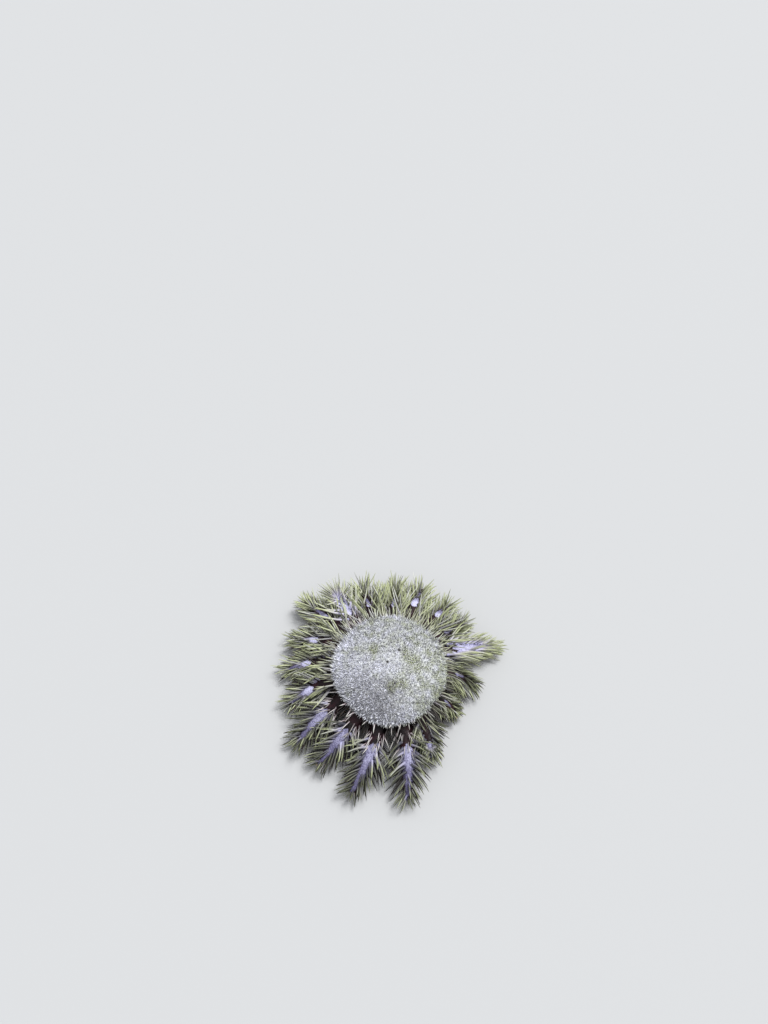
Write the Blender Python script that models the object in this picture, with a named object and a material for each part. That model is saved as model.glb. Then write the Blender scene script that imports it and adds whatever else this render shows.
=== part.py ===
"""A crown of thorns starfish at rest, life size: disc, mouth and eighteen arms with their spines.

Lengths are metres and +Z is up. The animal stands on z = 0 on the flat ends of its tube feet.
Each arm is a node of its own. It lies wholly between the lines that run half way to its two
neighbours, and its flat root face meets one flat face of the disc's wall.
"""
import math
import random
from collections import namedtuple

import bmesh
import bpy
from mathutils import Quaternion, Vector
from mathutils.geometry import intersect_point_line

# A form that doesn't fit its room is made smaller by this share, again and again.
SHRINK = 0.97
# The gap that touching nodes keep, and the deepest a root is sunk. A root on an arm also sinks no
# deeper than these shares of the arm's half width and height there.
GAP = 0.0003
ROOT_SINK = 0.0030
SINK_OF_WIDTH = 0.50
SINK_OF_HEIGHT = 0.35
# How far every spine stays above the floor.
FLOOR_ROOM = 0.0010

# The disc: a low cushion whose rim overhangs the flat faces that carry the arms. Its short spines
# stay inside the coat's radius, and the arms' spines outside it.
WALL_RADIUS = 0.0620
RIM_RADIUS = 0.0700
RIM_HEIGHT = 0.0405
CROWN_HEIGHT = 0.0570
WALL_TOP = 0.0330
UNDERSIDE = 0.0118
GROOVE_ROOF = 0.0150
MOUTH_SEAT_RADIUS = 0.0250
COAT_RADIUS = 0.0770
# The crown's profile falls as (1 - share ** flatness) ** roundness of the way out to the rim.
CROWN_FLATNESS = 2.6
CROWN_ROUNDNESS = 0.62
CROWN_RINGS = (0.26, 0.51, 0.74, 0.90, 0.98)
# The rounded lip under the rim: share of the way out from the wall, share of the way up to the rim.
LIP = ((0.88, 0.50), (0.55, 0.14))

# The mouth: a low ring under the disc, with a spine on each jaw. The ring's profile runs from its
# seat outside down, in and up into the pit: share of the radius, share of the depth.
MOUTH_RADIUS = 0.0200
MOUTH_DEPTH = 0.0065
MOUTH_PROFILE = ((1.00, 0.00), (1.00, 0.50), (0.80, 1.00), (0.55, 1.00), (0.35, 0.35))
JAW_SPINE_LENGTH = 0.0080
JAW_SPINE_RADIUS = 0.0011
JAW_SPINE_SPOT = (0.80, 0.70)
JAW_SPINE_DROP = 34

# The tube feet, in two rows along every arm and on under the disc to the mouth, and one at the tip.
FOOT_STALK_RADIUS = 0.0013
FOOT_SOLE_RADIUS = 0.0020
FOOT_SIDES = 4
FEET_ALONG_ARM = (0.10, 0.27, 0.44, 0.61, 0.78)
FOOT_AT_TIP = 0.92
FEET_UNDER_DISC = (0.033, 0.048)
FOOT_ROW_SHARE = 0.30
FOOT_ROW_UP = 0.12
FOOT_ROW_UNDER_DISC = 0.0024

SEED = 18
SHARP_ANGLE = math.radians(50)

# Direction in degrees from +X, distance of the tip from the disc's centre, sideways bend of the
# tip (to the left is positive), and how far the tip lifts. Drawn-in arms are short.
Arm = namedtuple("Arm", "direction reach bend lift")
ARMS = (
    Arm(286, 0.151, -0.020, 0.000),
    Arm(260, 0.150, -0.018, 0.000),
    Arm(236, 0.139, -0.008, 0.000),
    Arm(211, 0.141, 0.018, 0.000),
    Arm(188, 0.130, 0.022, 0.000),
    Arm(168, 0.133, 0.022, 0.000),
    Arm(150, 0.136, 0.024, 0.001),
    Arm(136, 0.158, 0.008, 0.005),
    Arm(122, 0.140, 0.005, 0.009),
    Arm(106, 0.134, 0.003, 0.004),
    Arm(88, 0.132, -0.003, 0.003),
    Arm(73, 0.136, -0.006, 0.003),
    Arm(54, 0.131, -0.004, 0.003),
    Arm(39, 0.127, -0.003, 0.002),
    Arm(24, 0.148, -0.018, 0.000),
    Arm(4, 0.110, -0.016, 0.000),
    Arm(336, 0.096, -0.009, 0.000),
    Arm(305, 0.114, -0.015, 0.003),
)

# An arm's sections: share of its length, half width, top and underside.
Section = namedtuple("Section", "along half_width top underside")
ARM_SECTIONS = (
    Section(0.00, 0.0115, 0.0325, 0.0120),
    Section(0.10, 0.0112, 0.0305, 0.0095),
    Section(0.22, 0.0108, 0.0272, 0.0070),
    Section(0.36, 0.0102, 0.0238, 0.0058),
    Section(0.52, 0.0090, 0.0210, 0.0054),
    Section(0.68, 0.0074, 0.0182, 0.0052),
    Section(0.83, 0.0055, 0.0156, 0.0052),
    Section(0.94, 0.0036, 0.0132, 0.0056),
    Section(0.98, 0.0021, 0.0118, 0.0066),
)
# One section's outline on its right half: share of the half width, share of the height.
HALF_OUTLINE = ((0.20, 0.16), (0.60, 0.00), (1.00, 0.34), (0.80, 0.76), (0.36, 1.00))

# A row of spines on each side of an arm: where its roots lie on the section, their first and last
# place along the arm and their count. The spread from the arm's heading and the rise, in degrees,
# go from the first spine to the last.
Row = namedtuple("Row", "across up first last count spread spread_end rise rise_end")
SPINE_ROWS = (
    Row(0.60, 0.87, 0.08, 0.90, 7, 62, 26, 26, 36),
    Row(0.92, 0.50, 0.16, 0.88, 6, 72, 38, 6, 12),
)
SPINE_SIDES = 4
SPINE_LENGTH = 0.034
LAST_SPINE_LENGTH = 0.022
SPINE_RADIUS = 0.0018
LAST_SPINE_RADIUS = 0.0013
# An arm drawn in to less than this length has shorter spines: the share of it, to this power.
FULL_ARM_LENGTH = 0.078
SIZE_CURVE = 0.5
# How far each spine may differ from its row: share of the arm, degrees, degrees, share of length.
ALONG_PLAY = 0.02
SPREAD_PLAY = 6
RISE_PLAY = 5
LENGTH_PLAY = 0.06
# The spines round an arm's tip: spread and rise in degrees.
TIP_FAN = ((0, 24), (22, 12), (-22, 12))
TIP_FAN_SPOT = (0.94, 0.0, 0.55)
TIP_FAN_PLAY = 4
TIP_SPINE_LENGTH = 0.019
TIP_SPINE_RADIUS = 0.0012
# A spine that doesn't fit is turned towards the arm's heading by this share of its spread, up to
# this many times, and left out if it never fits. It is tested at this many places along it.
TURN_SHARE = 0.09
TURNS = 10
PROBES = 12

# The disc's short spines, in rings: distance from the centre, count. They lean out from the first
# angle in the middle to the second at the rim.
DISC_SPINE_LENGTH = 0.0048
DISC_SPINE_RADIUS = 0.0010
DISC_SPINE_LEAN = (4, 48)
DISC_SPINE_LEAN_CURVE = 3
DISC_SPINE_PLAY = 4
DISC_SPINE_RINGS = (
    (0.000, 1),
    (0.012, 6),
    (0.024, 12),
    (0.036, 18),
    (0.048, 25),
    (0.059, 30),
    (0.0675, 36),
)


def unit(degrees):
    """The level unit vector at an angle from +X."""
    return Vector((math.cos(math.radians(degrees)), math.sin(math.radians(degrees)), 0.0))


def upright(height):
    """A vector of one height along +Z."""
    return Vector((0.0, 0.0, height))


def blend(low, high, share):
    """The value a share of the way from low to high."""
    return low + (high - low) * share


def varied(draw, value, play):
    """A value changed by up to its play, either way."""
    return value + draw.uniform(-play, play)


def clear_scene():
    """Remove whatever the scene held."""
    for thing in list(bpy.data.objects):
        bpy.data.objects.remove(thing)


def new_collection(name):
    """A collection linked to the scene."""
    group = bpy.data.collections.new(name)
    bpy.context.scene.collection.children.link(group)
    return group


def principled(name, colour, roughness):
    """A plain material of one colour."""
    material = bpy.data.materials.new(name)
    material.use_nodes = True
    shader = material.node_tree.nodes["Principled BSDF"]
    shader.inputs["Base Color"].default_value = (*colour, 1.0)
    shader.inputs["Roughness"].default_value = roughness
    shader.inputs["Metallic"].default_value = 0.0
    return material


def mesh_object(name, bm, group):
    """An object in a collection, made from a closed bmesh, with its faces turned to point out."""
    if bm.calc_volume(signed=True) < 0:
        bmesh.ops.reverse_faces(bm, faces=bm.faces[:])
    mesh = bpy.data.meshes.new(name)
    bm.to_mesh(mesh)
    bm.free()
    thing = bpy.data.objects.new(name, mesh)
    group.objects.link(thing)
    return thing


def loft(rings, start_centre=None, end_centre=None):
    """A closed bmesh through rings of like count, each end a fan to its centre or one flat face."""
    bm = bmesh.new()
    rows = [[bm.verts.new(point) for point in ring] for ring in rings]
    count = len(rows[0])
    for lower, upper in zip(rows, rows[1:]):
        for i in range(count):
            j = (i + 1) % count
            bm.faces.new((lower[i], lower[j], upper[j], upper[i]))
    for row, centre in ((rows[0][::-1], start_centre), (rows[-1], end_centre)):
        if centre is None:
            bm.faces.new(row)
            continue
        middle = bm.verts.new(centre)
        for i in range(count):
            bm.faces.new((row[i], row[(i + 1) % count], middle))
    return bm


def spike(group, root, heading, length, radius, roll):
    """A spine that tapers to its point, with its root at a place and its tip along a heading."""
    bm = bmesh.new()
    bmesh.ops.create_cone(
        bm, cap_ends=True, segments=SPINE_SIDES, radius1=radius, radius2=0.0, depth=length
    )
    turn = upright(1).rotation_difference(heading) @ Quaternion(upright(1), roll)
    for vert in bm.verts:
        vert.co = turn @ (vert.co + upright(length / 2)) + root
    return mesh_object("spike", bm, group)


def foot(group, place, roof):
    """A tube foot from the groove's roof down to its flat sole on the floor."""
    bm = bmesh.new()
    height = roof + ROOT_SINK / 2
    bmesh.ops.create_cone(
        bm,
        cap_ends=True,
        segments=FOOT_SIDES,
        radius1=FOOT_SOLE_RADIUS,
        radius2=FOOT_STALK_RADIUS,
        depth=height,
    )
    for vert in bm.verts:
        floor_side = vert.co.z < 0
        vert.co += Vector((place.x, place.y, height / 2))
        vert.co.z = 0.0 if floor_side else height
    return mesh_object("foot", bm, group)


def keep_largest_surface(thing):
    """Delete every closed surface of an object but the one that encloses most."""
    bm = bmesh.new()
    bm.from_mesh(thing.data)
    bm.faces.ensure_lookup_table()
    waiting = set(bm.faces)
    surfaces = []
    while waiting:
        front = [waiting.pop()]
        surface = []
        while front:
            face = front.pop()
            surface.append(face)
            for edge in face.edges:
                for other in edge.link_faces:
                    if other in waiting:
                        waiting.remove(other)
                        front.append(other)
        surfaces.append(surface)
    surfaces.sort(key=enclosed_volume, reverse=True)
    spare = [face for surface in surfaces[1:] for face in surface]
    bmesh.ops.delete(bm, geom=spare, context="FACES")
    bm.to_mesh(thing.data)
    bm.free()


def enclosed_volume(faces):
    """The volume that a closed set of faces encloses."""
    total = 0.0
    for face in faces:
        corners = [vert.co for vert in face.verts]
        for b, c in zip(corners[1:], corners[2:]):
            total += corners[0].dot(b.cross(c)) / 6
    return abs(total)


def fuse(body, pieces):
    """Join a collection of closed pieces to a body, which stays one closed surface.

    The solver is MANIFOLD, because with EXACT some arms touched themselves along an edge.
    """
    join = body.modifiers.new("join", "BOOLEAN")
    join.operation = "UNION"
    join.operand_type = "COLLECTION"
    join.collection = pieces
    join.solver = "MANIFOLD"
    graph = bpy.context.evaluated_depsgraph_get()
    mesh = bpy.data.meshes.new_from_object(body.evaluated_get(graph))
    body.modifiers.remove(join)
    body.data = mesh
    for piece in list(pieces.objects):
        bpy.data.objects.remove(piece)
    bpy.data.collections.remove(pieces)
    keep_largest_surface(body)


def finish(body, material):
    """Give a node its material and smooth shading with crisp spine roots."""
    body.data.materials.clear()
    body.data.materials.append(material)
    body.data.shade_smooth()
    body.data.set_sharp_from_angle(angle=SHARP_ANGLE)


def bearing(index, distance):
    """The direction in which an arm's middle line lies at a distance from the disc's centre."""
    arm = ARMS[index % len(ARMS)]
    along = min(max((distance - WALL_RADIUS) / (arm.reach - WALL_RADIUS), 0.0), 1.0)
    return arm.direction + math.degrees(math.atan2(arm.bend * along**2, distance))


def edges_of(index, distance=WALL_RADIUS):
    """The directions half way to the neighbours on the right and on the left of an arm."""
    here = bearing(index, distance)
    half_left = ((bearing(index - 1, distance) - here) % 360) / 2
    half_right = ((here - bearing(index + 1, distance)) % 360) / 2
    return here - half_right, here + half_left


def room(index, point):
    """How far a point is from the nearer edge of an arm's sector, less half the gap."""
    right, left = (unit(angle) for angle in edges_of(index, math.hypot(point.x, point.y)))
    from_right = right.x * point.y - right.y * point.x
    from_left = point.x * left.y - point.y * left.x
    return min(from_right, from_left) - GAP / 2


def arm_section(index, along):
    """The plan centre, heading, left and right half widths, top and underside at a place."""
    arm = ARMS[index]
    for near, far in zip(ARM_SECTIONS, ARM_SECTIONS[1:]):
        if along <= far.along:
            break
    share = (along - near.along) / (far.along - near.along)
    half_width = blend(near.half_width, far.half_width, share)
    top = blend(near.top, far.top, share)
    underside = blend(near.underside, far.underside, share)
    start = WALL_RADIUS + GAP
    length = arm.reach - start
    ahead = unit(arm.direction)
    aside = unit(arm.direction + 90)
    centre = ahead * (start + length * along) + aside * (arm.bend * along**2)
    heading = (ahead * length + aside * (2 * arm.bend * along)).normalized()
    left = Vector((-heading.y, heading.x, 0.0))
    lift = arm.lift * along**2
    widths = []
    for side in (1, -1):
        free = half_width
        while room(index, centre + left * (side * free)) < 0:
            free *= SHRINK
        widths.append(free)
    return centre, heading, left, widths, top + lift, underside + lift


def arm_point(index, along, across, up):
    """A point of an arm: across runs from -1 on its right to 1 on its left, up from 0 to 1."""
    centre, _, left, widths, top, underside = arm_section(index, along)
    width = widths[0] if across > 0 else widths[1]
    return centre + left * (across * width) + upright(blend(underside, top, up))


def arm_flesh(index, group):
    """The arm without its spines and feet."""
    outline = [(-across, up) for across, up in HALF_OUTLINE]
    outline += [(across, up) for across, up in reversed(HALF_OUTLINE)]
    rings = []
    for section in ARM_SECTIONS:
        rings.append([arm_point(index, section.along, *spot) for spot in outline])
    tip = arm_point(index, 1.0, 0.0, 0.5)
    bm = loft(rings, end_centre=tip)
    bmesh.ops.triangulate(bm, faces=bm.faces[:])
    return mesh_object(f"arm_{index + 1:02d}", bm, group)


def clear_of_disc(point, radius):
    """Whether a point of a spine on an arm keeps out of the disc and its coat."""
    distance = math.hypot(point.x, point.y)
    return distance > COAT_RADIUS + GAP + radius or point.z < WALL_TOP - 2 * GAP - radius


def clear_of_spines(placed, point, radius):
    """Whether a point of a spine keeps off the spines already on the arm."""
    for root, tip, root_radius in placed:
        share = min(max(intersect_point_line(point, root, tip)[1], 0.0), 1.0)
        if (point - root.lerp(tip, share)).length < radius + root_radius * (1 - share) + GAP:
            return False
    return True


def fits(index, placed, root, heading, length, radius):
    """Whether a spine keeps in its arm's sector and off the disc, the floor and other spines."""
    ahead = unit(ARMS[index].direction)
    if root.dot(ahead) < WALL_RADIUS + GAP + radius:
        return False
    for step in range(2, PROBES + 1):
        share = step / PROBES
        point = root + heading * (length * share)
        thick = radius * (1 - share)
        if room(index, point) < thick or point.z < thick + FLOOR_ROOM:
            return False
        if not clear_of_disc(point, thick) or not clear_of_spines(placed, point, thick):
            return False
    return True


def place_spine(index, pieces, placed, draw, spot, spread, rise, length, radius):
    """Root one spine at a spot on an arm, turned towards the arm's heading until it fits."""
    roll = draw.uniform(0, math.pi)
    _, heading, left, widths, top, underside = arm_section(index, spot[0])
    surface = arm_point(index, *spot)
    sink = min(ROOT_SINK, SINK_OF_WIDTH * min(widths), SINK_OF_HEIGHT * (top - underside))
    for turn in range(TURNS):
        angle = math.radians(spread * (1 - TURN_SHARE * turn))
        lift = math.radians(rise)
        level = heading * math.cos(angle) + left * math.sin(angle)
        way = level * math.cos(lift) + upright(math.sin(lift))
        root = surface - way * sink
        if fits(index, placed, root, way, length + sink, radius):
            spike(pieces, root, way, length + sink, radius, roll)
            placed.append((root, root + way * (length + sink), radius))
            return


def place_row(index, pieces, placed, draw, row, side, size):
    """Root one row of spines along one side of an arm."""
    for number in range(row.count):
        share = number / (row.count - 1)
        along = varied(draw, blend(row.first, row.last, share), ALONG_PLAY)
        spread = side * varied(draw, blend(row.spread, row.spread_end, share), SPREAD_PLAY)
        rise = varied(draw, blend(row.rise, row.rise_end, share), RISE_PLAY)
        length = size * blend(SPINE_LENGTH, LAST_SPINE_LENGTH, share)
        length *= varied(draw, 1.0, LENGTH_PLAY)
        radius = blend(SPINE_RADIUS, LAST_SPINE_RADIUS, share)
        spot = (along, side * row.across, row.up)
        place_spine(index, pieces, placed, draw, spot, spread, rise, length, radius)


def arm_node(index, group, material):
    """An arm with its rows of spines and tube feet."""
    draw = random.Random(SEED + index)
    size = min(1.0, (ARMS[index].reach - WALL_RADIUS) / FULL_ARM_LENGTH) ** SIZE_CURVE
    body = arm_flesh(index, group)
    pieces = new_collection("pieces")
    placed = []
    for row in SPINE_ROWS:
        for side in (1, -1):
            place_row(index, pieces, placed, draw, row, side, size)
    for spread, rise in TIP_FAN:
        spread = varied(draw, spread, TIP_FAN_PLAY)
        rise = varied(draw, rise, TIP_FAN_PLAY)
        length = size * TIP_SPINE_LENGTH
        place_spine(
            index, pieces, placed, draw, TIP_FAN_SPOT, spread, rise, length, TIP_SPINE_RADIUS
        )
    spots = [(along, side * FOOT_ROW_SHARE) for along in FEET_ALONG_ARM for side in (1, -1)]
    for along, across in spots + [(FOOT_AT_TIP, 0.0)]:
        roof = arm_point(index, along, across, FOOT_ROW_UP)
        foot(pieces, roof, roof.z)
    fuse(body, pieces)
    finish(body, material)
    return body


def crown_height(distance):
    """The height of the disc's upper skin at a distance from its centre."""
    share = min(distance / RIM_RADIUS, 1.0)
    return blend(RIM_HEIGHT, CROWN_HEIGHT, (1 - share**CROWN_FLATNESS) ** CROWN_ROUNDNESS)


def disc_ring(radius, height, flat_sided=False, height_at_arms=None):
    """A ring of the disc: one point at each arm and one half way to the next, round or flat at
    each arm, where it may have a height of its own."""
    ring = []
    for index, arm in enumerate(ARMS):
        corner = edges_of(index)[0]
        away = math.radians(arm.direction - corner)
        corner_radius = radius / math.cos(away) if flat_sided else radius
        ring.append(unit(arm.direction) * radius + upright(height_at_arms or height))
        ring.append(unit(corner) * corner_radius + upright(height))
    return ring


def disc_flesh(group):
    """The disc without its spines and feet: crown, overhanging rim, flat-faced wall, underside."""
    rings = []
    for share in CROWN_RINGS:
        distance = share * RIM_RADIUS
        rings.append(disc_ring(distance, crown_height(distance)))
    rings.append(disc_ring(RIM_RADIUS, RIM_HEIGHT))
    for out, up in LIP:
        rings.append(disc_ring(blend(WALL_RADIUS, RIM_RADIUS, out), blend(WALL_TOP, RIM_HEIGHT, up)))
    rings.append(disc_ring(WALL_RADIUS, WALL_TOP, flat_sided=True))
    rings.append(disc_ring(WALL_RADIUS, UNDERSIDE, flat_sided=True))
    between = blend(MOUTH_SEAT_RADIUS, WALL_RADIUS, 0.5)
    rings.append(disc_ring(between, UNDERSIDE, height_at_arms=GROOVE_ROOF))
    rings.append(disc_ring(MOUTH_SEAT_RADIUS, UNDERSIDE))
    bm = loft(rings, start_centre=upright(CROWN_HEIGHT), end_centre=upright(UNDERSIDE))
    bmesh.ops.triangulate(bm, faces=bm.faces[:])
    return mesh_object("disc", bm, group)


def disc_node(group, material):
    """The disc with its short spines and the tube feet that run on towards the mouth."""
    draw = random.Random(SEED + len(ARMS))
    body = disc_flesh(group)
    pieces = new_collection("pieces")
    for distance, count in DISC_SPINE_RINGS:
        start = draw.uniform(0, 360)
        for number in range(count):
            angle = varied(draw, start + 360 * number / count, DISC_SPINE_PLAY)
            lean = blend(*DISC_SPINE_LEAN, (distance / RIM_RADIUS) ** DISC_SPINE_LEAN_CURVE)
            lean = math.radians(varied(draw, lean, DISC_SPINE_PLAY))
            way = unit(angle) * math.sin(lean) + upright(math.cos(lean))
            length = varied(draw, DISC_SPINE_LENGTH, LENGTH_PLAY * DISC_SPINE_LENGTH)
            surface = unit(angle) * distance + upright(crown_height(distance))
            while (surface + way * length).xy.length > COAT_RADIUS - GAP:
                length *= SHRINK
            root = surface - way * (ROOT_SINK / 2)
            roll = draw.uniform(0, math.pi)
            spike(pieces, root, way, length + ROOT_SINK / 2, DISC_SPINE_RADIUS, roll)
    for arm in ARMS:
        for distance in FEET_UNDER_DISC:
            for side in (1, -1):
                aside = unit(arm.direction + 90) * (side * FOOT_ROW_UNDER_DISC)
                foot(pieces, unit(arm.direction) * distance + aside, GROOVE_ROOF)
    fuse(body, pieces)
    finish(body, material)
    return body


def mouth_node(group, material):
    """The ring of jaws round the mouth, face to face with the disc's underside."""
    draw = random.Random(SEED - 1)
    seat = UNDERSIDE - GAP
    rings = []
    for out, down in MOUTH_PROFILE:
        height = upright(seat - down * MOUTH_DEPTH)
        rings.append([unit(arm.direction) * (out * MOUTH_RADIUS) + height for arm in ARMS])
    bm = loft(rings)
    bmesh.ops.triangulate(bm, faces=bm.faces[:])
    body = mesh_object("mouth", bm, group)
    pieces = new_collection("pieces")
    out, down = JAW_SPINE_SPOT
    drop = math.radians(JAW_SPINE_DROP)
    for index in range(len(ARMS)):
        outward = unit(edges_of(index)[0])
        way = outward * -math.cos(drop) - upright(math.sin(drop))
        root = outward * (out * MOUTH_RADIUS) + upright(seat - down * MOUTH_DEPTH)
        spike(pieces, root, way, JAW_SPINE_LENGTH, JAW_SPINE_RADIUS, draw.uniform(0, math.pi))
    fuse(body, pieces)
    finish(body, material)
    return body


def centre_on_floor(nodes):
    """Hang the nodes on one empty that puts the middle of their box over the origin."""
    corners = [node.matrix_world @ vert.co for node in nodes for vert in node.data.vertices]
    middle_x = (min(c.x for c in corners) + max(c.x for c in corners)) / 2
    middle_y = (min(c.y for c in corners) + max(c.y for c in corners)) / 2
    hub = bpy.data.objects.new("starfish_hub", None)
    bpy.context.scene.collection.objects.link(hub)
    hub.location = (-middle_x, -middle_y, 0.0)
    for node in nodes:
        node.parent = hub


def build():
    """Make every node of the starfish."""
    clear_scene()
    starfish = new_collection("crown_of_thorns_starfish")
    nodes = [disc_node(starfish, principled("disc_skin", (0.55, 0.55, 0.52), 0.75))]
    nodes.append(mouth_node(starfish, principled("mouth_skin", (0.62, 0.50, 0.36), 0.6)))
    for index in range(len(ARMS)):
        skin = principled(f"arm_skin_{index + 1:02d}", (0.34, 0.33, 0.46), 0.6)
        nodes.append(arm_node(index, starfish, skin))
    centre_on_floor(nodes)


build()
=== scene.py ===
"""The looks of a life-size crown of thorns starfish: skin, spines, soft buds and tube feet.

Lengths are metres, +Z is up and the floor is z = 0. Shapes are worked out round the disc's own
centre, as the solids are, and then moved to where the frame has that centre.
"""

import math
from collections import namedtuple

import bpy
import numpy as np
from mathutils import Euler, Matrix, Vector, noise


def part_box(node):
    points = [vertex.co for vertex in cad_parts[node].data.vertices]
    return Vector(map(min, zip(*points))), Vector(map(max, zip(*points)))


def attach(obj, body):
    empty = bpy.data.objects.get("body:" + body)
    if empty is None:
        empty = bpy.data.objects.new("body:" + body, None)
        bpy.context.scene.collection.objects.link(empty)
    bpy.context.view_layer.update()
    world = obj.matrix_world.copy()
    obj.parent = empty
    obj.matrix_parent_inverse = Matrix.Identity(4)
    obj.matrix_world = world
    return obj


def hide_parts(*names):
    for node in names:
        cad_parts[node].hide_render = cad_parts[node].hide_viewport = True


# The disc, as in the solids: a low cushion whose rim overhangs the wall that carries the arms.
WALL_RADIUS = 0.0620
RIM_RADIUS = 0.0700
RIM_HEIGHT = 0.0405
CROWN_HEIGHT = 0.0570
WALL_TOP = 0.0330
UNDERSIDE = 0.0118
CROWN_FLATNESS = 2.6
CROWN_ROUNDNESS = 0.62
LIP = ((0.88, 0.50), (0.55, 0.14))
PROFILE_POINTS = 60
PROFILE_STEP = 0.001
MOUTH_RADIUS = 0.0200
MOUTH_DEPTH = 0.0065
# How far the mouth's form reaches up into the disc's.
MOUTH_OVERLAP = 0.003
MOUTH_PROFILE = ((1.00, 0.00), (1.00, 0.50), (0.80, 1.00), (0.55, 1.00), (0.35, 0.35))

# Direction in degrees from +X, distance of the tip from the disc's centre, sideways bend of the
# tip (to the left is positive), and how far the tip lifts.
Arm = namedtuple("Arm", "direction reach bend lift")
ARMS = (
    Arm(286, 0.151, -0.020, 0.000),
    Arm(260, 0.150, -0.018, 0.000),
    Arm(236, 0.139, -0.008, 0.000),
    Arm(211, 0.141, 0.018, 0.000),
    Arm(188, 0.130, 0.022, 0.000),
    Arm(168, 0.133, 0.022, 0.000),
    Arm(150, 0.136, 0.024, 0.001),
    Arm(136, 0.158, 0.008, 0.005),
    Arm(122, 0.140, 0.005, 0.009),
    Arm(106, 0.134, 0.003, 0.004),
    Arm(88, 0.132, -0.003, 0.003),
    Arm(73, 0.136, -0.006, 0.003),
    Arm(54, 0.131, -0.004, 0.003),
    Arm(39, 0.127, -0.003, 0.002),
    Arm(24, 0.148, -0.018, 0.000),
    Arm(4, 0.110, -0.016, 0.000),
    Arm(336, 0.096, -0.009, 0.000),
    Arm(305, 0.114, -0.015, 0.003),
)
# An arm's sections: share of its length, half width, top and underside.
ARM_SECTIONS = np.array((
    (-0.40, 0.0115, 0.0320, 0.0120),
    (0.00, 0.0115, 0.0325, 0.0120),
    (0.10, 0.0112, 0.0305, 0.0095),
    (0.22, 0.0108, 0.0272, 0.0070),
    (0.36, 0.0102, 0.0238, 0.0058),
    (0.52, 0.0090, 0.0210, 0.0054),
    (0.68, 0.0074, 0.0182, 0.0052),
    (0.83, 0.0055, 0.0156, 0.0052),
    (0.94, 0.0036, 0.0132, 0.0056),
    (0.98, 0.0021, 0.0118, 0.0066),
    (1.00, 0.0010, 0.0100, 0.0080),
))
HALF_OUTLINE = ((0.16, 0.24), (0.58, 0.00), (1.00, 0.34), (0.80, 0.76), (0.36, 1.00))
FULL_ARM_LENGTH = 0.078
# The shares of an arm's length between which the skin's places along it are measured.
ALONG_RANGE = (-0.4, 1.1)

# The skin is one closed mesh of about this grain.
SKIN_GRAIN = 0.0012
SKIN_SMOOTHING = 5
SKIN_WRINKLE = 0.00045
WRINKLE_SCALE = 180
WRINKLE_FRACTAL = (0.8, 2.0, 3)
STRIPE_SMOOTHS = 0.7
# How softly the disc's pale ground ends, and how far the skin faces down where it turns buff.
CROWN_EDGE = 0.002
ORAL_EDGE = 0.6
ORAL_START = 0.2
# Degrees between points round the disc's form, rings along an arm's, and steps in its outline.
DISC_TURN = 2.5
ARM_RINGS = 48
OUTLINE_STEPS = 4

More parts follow.
